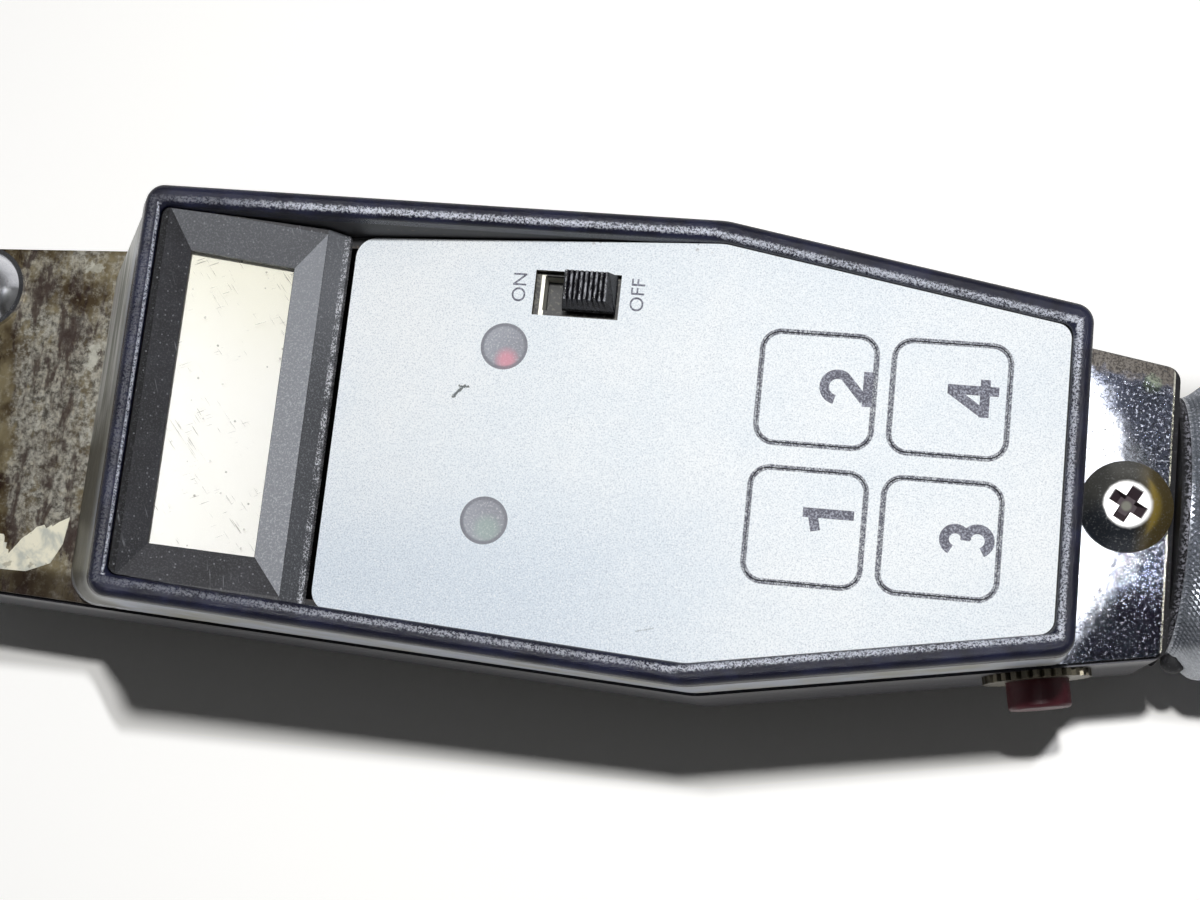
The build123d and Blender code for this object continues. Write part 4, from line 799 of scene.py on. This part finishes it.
def mesh_of(shape, smooth=True):
    """A Blender mesh from a bmesh whose sizes are in millimetres."""
    bmesh.ops.scale(shape, vec=(MM, MM, MM), verts=shape.verts)
    bmesh.ops.recalc_face_normals(shape, faces=shape.faces)
    mesh = bpy.data.meshes.new("mesh")
    shape.to_mesh(mesh)
    shape.free()
    for polygon in mesh.polygons:
        polygon.use_smooth = smooth
    return mesh


# %% [markdown]
# ## The window's pane
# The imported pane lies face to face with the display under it, and light that arrives where two
# faces share a place is lost between them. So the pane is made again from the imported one,
# with its lower face lifted by a hair, as a real pane rests on its rim.

# %% Window pane
PANE_LIFT = 0.08


def window_pane():
    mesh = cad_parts["display_window"].data.copy()
    broad = max(mesh.polygons, key=lambda face: face.area * (face.normal.z > 0))
    up, level = broad.normal.copy(), broad.normal.dot(broad.center)
    for vert in mesh.vertices:
        if vert.co.dot(up) < level - 0.5 * MM:
            vert.co += up * PANE_LIFT * MM
    return mesh


pane = add_piece("clear_pane", window_pane(), window_finish, "wrench_body")
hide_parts("display_window")

# %% [markdown]
# ## The switch knob
# The slide switch's knob has round ribs across its top and sloping sides that spread over the
# slot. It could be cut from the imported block, but rows of points are shorter: each row runs
# along the switch, the rows are joined into a skin, and the two ends are closed.

# %% Switch knob
KNOB_RIBS, RIB_DEPTH, RIB_POINTS = 9, 0.45, 7
FLANGE_LIFT = 0.15


def skin(shape, rows):
    """Joins rows of points into a closed body, the last row back to the first."""
    rows = [[shape.verts.new(point) for point in row] for row in rows]
    for near, far in zip(rows, rows[1:] + rows[:1]):
        for i in range(len(near) - 1):
            shape.faces.new((near[i], near[i + 1], far[i + 1], far[i]))
    shape.faces.new([row[0] for row in rows])
    shape.faces.new([row[-1] for row in reversed(rows)])


def switch_knob():
    low, high = box_mm("switch_knob")
    base = box_mm("keypad_panel")[1].z + FLANGE_LIFT
    count = KNOB_RIBS * RIB_POINTS

    def row(start, end, y, z, ribs=0.0):
        shares = [i / count for i in range(count + 1)]
        dips = [ribs * (1 - abs(math.sin(math.pi * KNOB_RIBS * t))) for t in shares]
        return [(start + (end - start) * t, y, z - dip) for t, dip in zip(shares, dips)]

    shape = bmesh.new()
    skin(shape, [row(low.x - 0.2, high.x + 0.85, low.y - 0.6, base),
                 row(low.x - 0.1, high.x + 0.75, low.y - 0.5, base + 1.2),
                 row(low.x, high.x - 0.2, low.y + 0.7, high.z, RIB_DEPTH),
                 row(low.x, high.x - 0.2, high.y, high.z, RIB_DEPTH),
                 row(low.x - 0.2, high.x + 0.85, high.y + 0.2, base)])
    foot = base + 0.3
    skin(shape, [[(low.x, y, z), (high.x, y, z)] for y, z in
                 ((low.y, low.z), (low.y, foot), (high.y, foot), (high.y, low.z))])
    return mesh_of(shape, smooth=False)


knob = add_piece("ribbed_knob", switch_knob(), knob_finish, "power_knob")
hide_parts("switch_knob")

# %% [markdown]
# ## The knurled grip
# The grip's steel sleeve is knurled all over: two sets of helical grooves cross and leave
# rows of small pyramids. A bump texture could draw them, but the grip's outline and its
# exported mesh would then be smooth, so the pyramids are real. Rings of points are wrapped
# round the grip, and every second point, in turn from ring to ring, is sunk into a groove.
# Each square between four points is folded along its two sunk corners.

# %% Knurled grip
grip_low, grip_high = box_mm("grip")
tube_low, tube_high = box_mm("handle_tube")
GRIP_RADIUS = (grip_high.y - grip_low.y) / 2
GRIP_AXIS_Z = (grip_high.z + grip_low.z) / 2
KNURL_ROUND, KNURL_DEPTH = 132, 0.4
TUBE_RADIUS = (tube_high.y - tube_low.y) / 2
COLLAR_RADIUS = 20.7
LIP_REACH, LIP_RADIUS, LIP_RISE = 4.6, 21.2, 5.6
REAR_ROUND = 3.0


def grip_radius(x):
    """The sleeve's smooth radius: a lip that reaches over the collar, then the full round."""
    from_lip = x - (grip_low.x - LIP_REACH)
    if from_lip < LIP_RISE:
        share = from_lip / LIP_RISE
        return LIP_RADIUS + (GRIP_RADIUS - LIP_RADIUS) * share ** 2 * (3 - 2 * share)
    past = max(0.0, REAR_ROUND - (grip_high.x - x)) / REAR_ROUND
    return GRIP_RADIUS - REAR_ROUND * 0.6 * (1 - math.sqrt(1 - past ** 2))


def on_circle(radius, i, count):
    """Point i of count points spaced evenly round a circle."""
    angle = 2 * math.pi * i / count
    return radius * math.cos(angle), radius * math.sin(angle)


def ring_of(shape, x, radii):
    """A ring of points round the grip's axis, one for each radius."""
    spots = [on_circle(radius, i, len(radii)) for i, radius in enumerate(radii)]
    return [shape.verts.new((x, y, GRIP_AXIS_Z + z)) for y, z in spots]


def knurled_grip():
    start = grip_low.x - LIP_REACH
    span = grip_high.x - start
    pitch = 2 * math.pi * GRIP_RADIUS / KNURL_ROUND
    rows, around = round(span / pitch * 2), KNURL_ROUND * 2
    bore, lip_bore = [TUBE_RADIUS + 0.05] * around, [COLLAR_RADIUS + 0.05] * around
    shape = bmesh.new()
    rings = [ring_of(shape, grip_low.x, bore), ring_of(shape, grip_low.x, lip_bore)]
    rings.append(ring_of(shape, start, lip_bore))
    for row in range(rows + 1):
        x = start + row / rows * span
        depth = KNURL_DEPTH if 0 < row < rows else 0.0
        radii = [grip_radius(x) - depth * ((row + column) % 2) for column in range(around)]
        rings.append(ring_of(shape, x, radii))
    rings.append(ring_of(shape, grip_high.x, bore))
    for order, (near, far) in enumerate(zip(rings, rings[1:] + rings[:1])):
        for column in range(around):
            after = (column + 1) % around
            corners = [near[column], near[after], far[after], far[column]]
            if (order + column) % 2:
                corners = corners[1:] + corners[:1]
            shape.faces.new((corners[0], corners[1], corners[3]))
            shape.faces.new((corners[1], corners[2], corners[3]))
    return mesh_of(shape, smooth=False)


def grip_look(place):
    x, y, _ = xyz(place)
    dust = cloud(place, 0.5, 3.0, 0.7)
    glint = specks(place, 0.5, 0.45, 0.4) | step(cloud(place, 0.4, 4.0, 0.8), 0.55, 0.62)
    tone = mix(step(cloud(place, 9.0, 4.0), 0.35, 0.7), "3a3a49", "525262")
    # Painted light: the lip at the grip's front is painted lighter.
    tone = mix(step(x, grip_low.x + 1.5, grip_low.x - 2.0) * 0.7, tone, "80868c")
    # Painted glints: pale specks over the knurl.
    tone = mix(glint * 0.7, tone, "d0d2de")
    # Painted reflection: the lower flank at the lip end is painted light, as it mirrors the floor.
    painted_sheen = step(x, 277.5, 275.0) & step(y, -19.6, -21.2)
    tone = mix(painted_sheen * 0.85, tone, mix(dust, "9ba1aa", "e6e9ee"))
    return {"Base Color": tone, "Roughness": 0.24 + dust * 0.2, "Metallic": 0.35 + glint * 0.4}


grip_finish = finish("grip_dark", grip_look, coat_weight=0.2)
dress(grip_finish, "grip")
grip = add_piece("knurled_grip", knurled_grip(), grip_finish, "wrench_body")
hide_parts("grip")
print("knurl", len(grip.data.vertices), "points")

# %% [markdown]
# ## The cover's screw
# A wide, low screw holds the cover behind the tray. Its crossed recess has four tapering
# wings. The dome is a profile turned round the screw's axis, and the recess is a cutter of
# the driver's shape taken away by a Boolean modifier, as a punch makes the real one.

# %% Cross-recess screw
SCREW_TURN = 61.0
screw_low, screw_high = box_mm("cover_screw")
screw_middle = (screw_low + screw_high) / 2
SCREW_RADIUS = (screw_high.x - screw_low.x) / 2
HEAD_HEIGHT = 3.0
SCREW_FLAT, SCREW_EDGE = 3.3, 0.5
WING_REACH, WING_WIDTH, RECESS_DEPTH = 3.5, 2.1, 2.2
TIP_REACH, TIP_WIDTH, CUTTER_RISE = 0.42, 0.75, 0.8
DOME_CURVE, DOME_STEPS, SHANK_RADIUS = 1.6, 14, 2.4


def turned(profile, segments=96):
    """A skin turned round Z from (radius, height) points, closed where they meet the axis."""
    shape = bmesh.new()
    rings = []
    for radius, height in profile:
        if radius < 1e-6:
            rings.append([shape.verts.new((0, 0, height))])
        else:
            spots = [on_circle(radius, i, segments) for i in range(segments)]
            rings.append([shape.verts.new((x, y, height)) for x, y in spots])
    for low, high in zip(rings, rings[1:]):
        for i in range(segments):
            j = (i + 1) % segments
            picks = ((low, i), (low, j), (high, j), (high, i))
            corners = [ring[k % len(ring)] for ring, k in picks]
            shape.faces.new(list(dict.fromkeys(corners)))
    return shape


def driver_point():
    """The crossed driver: two crossing tapered blades, wide at the top."""
    shape = bmesh.new()
    for turn in (0, 90):
        blade = bmesh.ops.create_cube(shape, size=1.0)["verts"]
        for vert in blade:
            top = vert.co.z > 0
            reach = 2 * WING_REACH * (1.0 if top else TIP_REACH)
            width = WING_WIDTH * (1.0 if top else TIP_WIDTH)
            level = HEAD_HEIGHT + (CUTTER_RISE if top else -RECESS_DEPTH)
            vert.co = Vector((vert.co.x * reach, vert.co.y * width, level))
        bmesh.ops.rotate(shape, verts=blade, matrix=Matrix.Rotation(math.radians(turn), 3, "Z"))
    return shape


def final_mesh(item):
    """The mesh of an object after its modifiers, or of a text."""
    ready = item.evaluated_get(bpy.context.evaluated_depsgraph_get())
    return bpy.data.meshes.new_from_object(ready)


def cut_recess(mesh, cutter):
    """The mesh with the cutter taken away, as its own mesh."""
    blank, tool = stand("blank", mesh), stand("tool", cutter)
    boolean = blank.modifiers.new("recess", "BOOLEAN")
    boolean.operation, boolean.object, boolean.solver = "DIFFERENCE", tool, "EXACT"
    boolean.use_self = True
    cut = final_mesh(blank)
    for item in (blank, tool):
        bpy.data.objects.remove(item)
    return cut


def crossed_screw():
    fall, wide = HEAD_HEIGHT - SCREW_EDGE, SCREW_RADIUS - SCREW_FLAT
    slopes = [i / DOME_STEPS for i in range(DOME_STEPS + 1)]
    dome = [(SCREW_FLAT + wide * t, HEAD_HEIGHT - fall * t ** DOME_CURVE) for t in slopes]
    base = screw_low.z - (screw_high.z - HEAD_HEIGHT)
    profile = [(0.0, HEAD_HEIGHT), *dome, (SCREW_RADIUS, 0.15), (SCREW_RADIUS - 0.15, 0.0),
               (SHANK_RADIUS, 0.0), (SHANK_RADIUS, base), (0, base)]
    cut = cut_recess(mesh_of(turned(profile)), mesh_of(driver_point(), smooth=False))
    cut.set_sharp_from_angle(angle=math.radians(20))
    middle = Vector((screw_middle.x, screw_middle.y, screw_high.z - HEAD_HEIGHT)) * MM
    cut.transform(Matrix.Translation(middle) @ Matrix.Rotation(math.radians(SCREW_TURN), 4, "Z"))
    return cut


def screw_look(place):
    """A painted highlight on the top, a recess painted dark as shade with a painted highlight at
    its middle, and a dull slope painted darker on its south side, gold on the side by the grip.
    """
    x, y, z = xyz(place)
    east, north = x - screw_middle.x, y - screw_middle.y
    off = length(east, north)
    slope = step(off + cloud(place, 2.0) * 0.6, 3.7, 4.3)
    # Painted shade: the slope is darker toward the south.
    dull = mix(step(north + cloud(place, 3.0) * 4.0, -1.0, 5.0), "262a31", "4f4e4a")
    dull = mix(step(east, 0.5, 5.0) * 0.7, dull, "7a6a3e")
    dull = mix((step(east, 2.5, 4.0) & step(off, 5.6, 4.6)) * 0.7, dull, "b39a45")
    grit = step(cloud(place, 0.4, 4.0, 0.8), 0.56, 0.64)
    # Painted highlight: the top inside the slope is near-white.
    tone = mix(slope, "f3f2f0", mix(grit * 0.4, dull, "a8aaa8"))
    # Painted shade in the recess, with a painted highlight at its middle.
    sunk = step(z, screw_high.z - 0.12, screw_high.z - 0.35)
    sunk = sunk & step(off, SCREW_FLAT + 0.6, SCREW_FLAT + 0.3)
    dirt_and_shade = mix(step(off, 1.0, 0.5), "43363c", "77786c")
    return {
        "Base Color": mix(sunk, tone, dirt_and_shade),
        "Metallic": 0.3 + slope * 0.15 - sunk * 0.3,
        "Roughness": 0.36 - slope * 0.04 + sunk * 0.3,
        "Normal": relief(cloud(place, 0.8, 3.0), 0.02, 0.4),
    }


screw_finish = finish("screw_plate", screw_look)
dress(screw_finish, "cover_screw")
screw = add_piece("crossed_screw", crossed_screw(), screw_finish, "wrench_body")
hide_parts("cover_screw")
print("screw", len(screw.data.polygons), "faces")

# %% [markdown]
# ## The lug at the neck
# Beside the cover's rear corner a short round lug stands out of the neck and hides where the
# grip's lip begins. It could be left to the CAD step, but it is small, carries nothing and is
# one more profile for the function that turned the screw.

# %% Neck lug
LUG_RADIUS, LUG_LENGTH, LUG_ROUND = 2.0, 8.0, 1.8
LUG_PLACE = Vector((269.5, -16.0, 25.5))


def neck_lug():
    shoulder = LUG_LENGTH - LUG_ROUND
    turns = (0.3, 0.6, 0.9, 1.2, 1.4)
    tip = [(LUG_RADIUS * math.cos(t), shoulder + LUG_ROUND * math.sin(t)) for t in turns]
    profile = [(0.0, 0.0), (LUG_RADIUS, 0.0), (LUG_RADIUS, shoulder), *tip, (0.0, LUG_LENGTH)]
    mesh = mesh_of(turned(profile, 48))
    mesh.transform(Matrix.Translation(LUG_PLACE * MM) @ Matrix.Rotation(math.radians(90), 4, "X"))
    return mesh


add_piece("neck_lug", neck_lug(), casting_finish, "wrench_body")

# %% [markdown]
# ## The ink
# The keys carry the numbers 1 to 4, and the switch the words ON and OFF. Print could be drawn
# in the shader only with great effort, so each number and word is a very thin mesh of ink that
# lies on its key or on the sheet. The ink has worn off in fine grains.

# %% Ink
INK_THICKNESS = 0.03


def ink_look(place):
    wear_and_highlight = step(cloud(place, 0.3, 3.0, 0.85), 0.4, 0.53)
    return {"Base Color": mix(wear_and_highlight, "9094a4", INK), "Roughness": 0.5 + wear_and_highlight * 0.1}


ink_finish = finish("key_ink", ink_look)

# %% [markdown]
# ## The keys' numbers
# The numbers 1 to 4 are heavy and round with square ends, unlike Blender's own typeface. Each
# is drawn with a few strokes of a broad pen: a straight run or an arc, widened to both sides.
# Strokes that cross lie a hair's breadth above each other, so that no two faces share a place.
# All print reads across the wrench, its tops toward the head.

# %% Key numbers
DIGIT_STROKE = 1.45


def arc(x, y, radius, start, end):
    """Points on an arc, its angles in degrees."""
    turns = [math.radians(start + (end - start) * i / 20) for i in range(21)]
    return [(x + radius * math.cos(t), y + radius * math.sin(t)) for t in turns]


DIGITS = {
    1: [[(0.9, 3.8), (0.9, -3.8)], [(-1.8, 1.75), (0.9, 2.35)]],
    2: [arc(0.05, 1.35, 1.98, 170, -32) + [(-1.75, -2.75)], [(-2.7, -3.2), (2.7, -3.2)]],
    3: [arc(-0.1, 1.62, 1.62, 158, -90), arc(-0.1, -1.62, 1.78, 92, -156)],
    4: [[(1.15, 3.8), (1.15, -3.8)], [(-2.9, -1.75), (2.9, -1.75)], [(-2.3, -1.6), (1.0, 3.25)]],
}


def add_stroke(shape, points, base):
    """A pen stroke of the digits' width along the points, its ends cut square."""
    bottom, top = [], []
    for i, point in enumerate(points):
        before, after = points[max(i - 1, 0)], points[min(i + 1, len(points) - 1)]
        run = (Vector(after) - Vector(before)).normalized()
        side = Vector((-run.y, run.x)) * DIGIT_STROKE / 2
        for row, z in ((bottom, base), (top, base + INK_THICKNESS)):
            row.append([shape.verts.new((*(Vector(point) + side * s), z)) for s in (1, -1)])
    for i in range(len(points) - 1):
        for corners in ((top[i][0], top[i][1], top[i + 1][1], top[i + 1][0]),
                        (bottom[i][0], bottom[i + 1][0], bottom[i + 1][1], bottom[i][1]),
                        (bottom[i][0], top[i][0], top[i + 1][0], bottom[i + 1][0]),
                        (bottom[i][1], bottom[i + 1][1], top[i + 1][1], top[i][1])):
            shape.faces.new(corners)
    for i in (0, -1):
        shape.faces.new((bottom[i][0], bottom[i][1], top[i][1], top[i][0]))


NUMBER_PLACES = {1: (213.4, -9.2), 2: (214.5, 11.1), 3: (233.8, -10.4), 4: (233.3, 11.0)}
for number, (x, y) in NUMBER_PLACES.items():
    shape = bmesh.new()
    top = box_mm(f"key_{number}")[1].z
    for order, points in enumerate(DIGITS[number]):
        add_stroke(shape, [(-v, u) for u, v in points], top + 0.004 * order)
    bmesh.ops.translate(shape, verts=shape.verts, vec=(x, y, 0.0))
    name = f"number_{number}"
    add_piece(name, mesh_of(shape, smooth=False), ink_finish, f"key_{number}")

# %% [markdown]
# ## The switch's words
# ON and OFF are printed in thin plain letters, and Blender's own typeface has such letters. A
# text object could stay as text, but the export wants meshes, so it is turned into one.

# %% Switch words
WORD_HEIGHT, CAPITAL_SHARE = 2.2, 0.72


def printed(word, x, y):
    """A word on the panel, centred on its spot, its tops toward -X."""
    name = f"word_{word.lower()}"
    words = bpy.data.curves.new(name, "FONT")
    words.body, words.align_x, words.align_y = word, "CENTER", "CENTER"
    words.size = WORD_HEIGHT / CAPITAL_SHARE * MM
    words.extrude = INK_THICKNESS / 2 * MM
    words.resolution_u = 6
    loose = stand(name, words)
    mesh = final_mesh(loose)
    bpy.data.objects.remove(loose)
    corners = [vert.co for vert in mesh.vertices]
    low, high = [Vector(pick(c[i] for c in corners) for i in range(3)) for pick in (min, max)]
    spot = Vector((x, y, box_mm("keypad_panel")[1].z + INK_THICKNESS / 2)) * MM
    turn = Matrix.Rotation(math.radians(90), 4, "Z")
    mesh.transform(Matrix.Translation(spot) @ turn @ Matrix.Translation(-(low + high) / 2))
    add_piece(name, mesh, ink_finish, "wrench_body")


printed("ON", 162.8, 23.3)
printed("OFF", 181.4, 23.3)

# %% [markdown]
# ## The rest of a label
# A paper label was torn off the front of the cover and its corner is still glued down. It is
# a flat sheet with one round corner and a ragged edge, thin enough to hug the plate. Its
# outline is listed point by point, and the tear is roughened with seeded random steps.

# %% Torn label
LABEL_THICKNESS = 0.12
LABEL_CORNERS = [(50.0, -26.1), (80.5, -26.1), (84.6, -24.4), (86.3, -21.0), (86.8, -16.4)]
LABEL_TEAR = [(86.8, -16.4), (84.0, -18.2), (81.5, -18.4), (79.0, -20.6), (77.0, -23.4),
              (75.6, -20.2), (73.2, -18.6), (69.0, -17.6), (63.0, -18.8), (57.0, -17.2),
              (50.0, -18.4)]


def ragged(points, steps, size, seed):
    """The line through the points, with small random steps sideways."""
    rng = random.Random(seed)
    line = []
    for (ax, ay), (bx, by) in zip(points, points[1:]):
        for i in range(steps):
            t = i / steps
            jolt = rng.uniform(-size, size) if i else 0.0
            line.append((ax + (bx - ax) * t + jolt * 0.6, ay + (by - ay) * t + jolt))
    return line + [points[-1]]


def torn_label():
    outline = LABEL_CORNERS[:-1] + ragged(LABEL_TEAR, 6, 0.35, 5)
    top = box_mm("top_cover")[1].z
    shape = bmesh.new()
    face = shape.faces.new([shape.verts.new((x, y, top + 0.01)) for x, y in outline])
    grown = bmesh.ops.extrude_face_region(shape, geom=[face])["geom"]
    for item in grown:
        if isinstance(item, bmesh.types.BMVert):
            item.co.z += LABEL_THICKNESS
    bmesh.ops.triangulate(shape, faces=shape.faces)
    return mesh_of(shape, smooth=False)


def paper_look(place):
    stain = cloud(place, 5.0, 4.0, 0.6, 0.6)
    spots = cloud(place, 2.0, 3.0)
    tone = mix(step(stain, 0.42, 0.62), "f8f3dc", "c6c8bd")
    tone = mix(step(spots, 0.62, 0.7) * 0.5, tone, "6d6450")
    return {"Base Color": tone, "Roughness": 0.7 + stain * 0.1}


label_finish = finish("label_paper", paper_look)
add_piece("torn_label", torn_label(), label_finish, "wrench_body")

# %% [markdown]
# ## Floor and light
# The wrench lies on a white sheet under one lamp just above the camera, so its shadow falls
# toward the push button's side. A broad soft lamp is usual in a studio, but this shadow has a
# crisp edge, so the lamp is small and round, and the room adds a low fill. The floor is white
# paint plus some light of its own for the camera and for reflections. That light keeps out of
# the shadow, so that lit paper is pure white and only the shadow shows.

# %% Floor
WHITE = (1.0, 1.0, 1.0, 1.0)
SHEET_RINGS = (350.0, 1200.0, 2400.0, 4000.0)
SHADOW_REACH, BEND_X, REAR_SLOPE = 48.7, 195.0, 0.19
GRIP_STEP, TRAY_STEP, HEAD_STEP, LEAST_REACH = 6.5, 9.8, 11.0, 28.0


def emptied(owner):
    """The node tree of a material or a world, switched on and cleared, as a wire."""
    owner.use_nodes = True
    owner.node_tree.nodes.clear()
    return Wire(owner.node_tree)


def seen_rays(wire):
    """1 for what the camera sees, also in metal or through glass."""
    kinds = ("Camera", "Glossy", "Transmission")
    seen, glossy, through = [wire.node("LightPath", output=f"Is {kind} Ray") for kind in kinds]
    return seen | glossy | through


def shadow_reach(x):
    """How far the shadow reaches out from the wrench's middle line, at each place along it."""
    reach = SHADOW_REACH - ((x - BEND_X) | 0.0) * REAR_SLOPE
    reach = reach - step(x, 250.0, 257.5) * GRIP_STEP - step(x, 86.0, 76.0) * TRAY_STEP
    return (reach | LEAST_REACH) - step(x, 54.0, 44.0) * HEAD_STEP


def floor_paint():
    """White paper, with a glow for the camera wherever the shadow doesn't fall."""
    material = bpy.data.materials.new("white_paper")
    wire = emptied(material)
    x, y, _ = xyz(place_of(wire.tree))
    far = step(length(x - 220.0, y), 200.0, 420.0)
    clear = step(-1.0 * y - shadow_reach(x), 0.0, 3.0) | step(y, 26.0, 34.0)
    clear = clear | step(abs(x - 198.0), 234.0, 250.0)
    strength = seen_rays(wire) * (clear * 0.4 + (far & clear) * 0.6)
    paper = wire.node("BsdfDiffuse", {}, {"Color": (0.92, 0.91, 0.88, 1.0)})
    glow = wire.node("Emission", {}, {"Color": WHITE, "Strength": strength})
    both = wire.node("AddShader", {}, {0: paper, 1: glow})
    wire.node("OutputMaterial", {}, {"Surface": both})
    return material


disc = turned([(0.0, 0.0)] + [(radius, 0.0) for radius in SHEET_RINGS], 64)
sheet = stand("white_sheet", mesh_of(disc, smooth=False))
sheet.location.z = cad_box[0].z - 0.0002
sheet.data.materials.append(floor_paint())
print("floor", round(sheet.dimensions.x, 1), "m across")

# %% Lamp and card
CARD_RADIUS, CARD_GLOW = 131.0, 4.0

lamp = bpy.data.lights.new("flash", "AREA")
lamp.shape, lamp.size, lamp.energy = "DISK", 0.022, 1.65
flash = stand("flash", lamp)
flash.location = (0.226, 0.055, 0.49)
aim = Vector((0.19, 0.0, 0.05)) - flash.location
flash.rotation_euler = aim.to_track_quat("-Z", "Y").to_euler()
print("lamp", round(lamp.energy, 2), "W at", [round(value, 3) for value in flash.location])


def white_card():
    """A round card beside the lamp that only shiny surfaces mirror."""
    shape = bmesh.new()
    bmesh.ops.create_circle(shape, cap_ends=True, segments=64, radius=CARD_RADIUS)
    card = stand("white_card", mesh_of(shape, smooth=False))
    card.location = (0.186, 0.086, 0.5)
    for ray in ("camera", "diffuse", "shadow", "transmission"):
        setattr(card, f"visible_{ray}", False)
    material = bpy.data.materials.new("card_glow")
    wire = emptied(material)
    glow = wire.node("Emission", {}, {"Color": WHITE, "Strength": CARD_GLOW})
    wire.node("OutputMaterial", {}, {"Surface": glow})
    card.data.materials.append(material)


white_card()

# %% [markdown]
# ## The room
# Metal is only as lively as what it mirrors. A plain white room would wash it out, so the room
# is white near the floor and dim overhead, which is what the flat plates see. Diffuse light
# from the room is low, and the camera sees plain white.

# %% Room
FILL, DIM, RISE = 0.068, 0.06, 0.94

world = bpy.data.worlds.new("pale_room")
scene.world = world
room = emptied(world)
walls = step(xyz(room.node("TexCoord", output="Generated"))[2], 0.8, 0.2)


def glow_of(strength):
    return room.node("Background", {}, {"Color": WHITE, "Strength": strength})


def for_rays(kind, others, these):
    """One shader for a kind of ray and another for all others."""
    chosen = room.node("LightPath", output=f"Is {kind} Ray")
    return room.node("MixShader", {}, {0: chosen, 1: others, 2: these})


light = for_rays("Glossy", glow_of(FILL), glow_of(walls * RISE + DIM))
room.node("OutputWorld", {}, {"Surface": for_rays("Camera", light, glow_of(1.0))})
print("room", len(room.tree.nodes), "nodes")

# %% [markdown]
# ## The end
# What is seen has to keep the size of the solids under it. The solids' box was measured
# and printed before anything was added. The last cell counts the solids that got a finish.

# %% Closing count
print("dressed", len(finishes), "of", len(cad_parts), "solids")
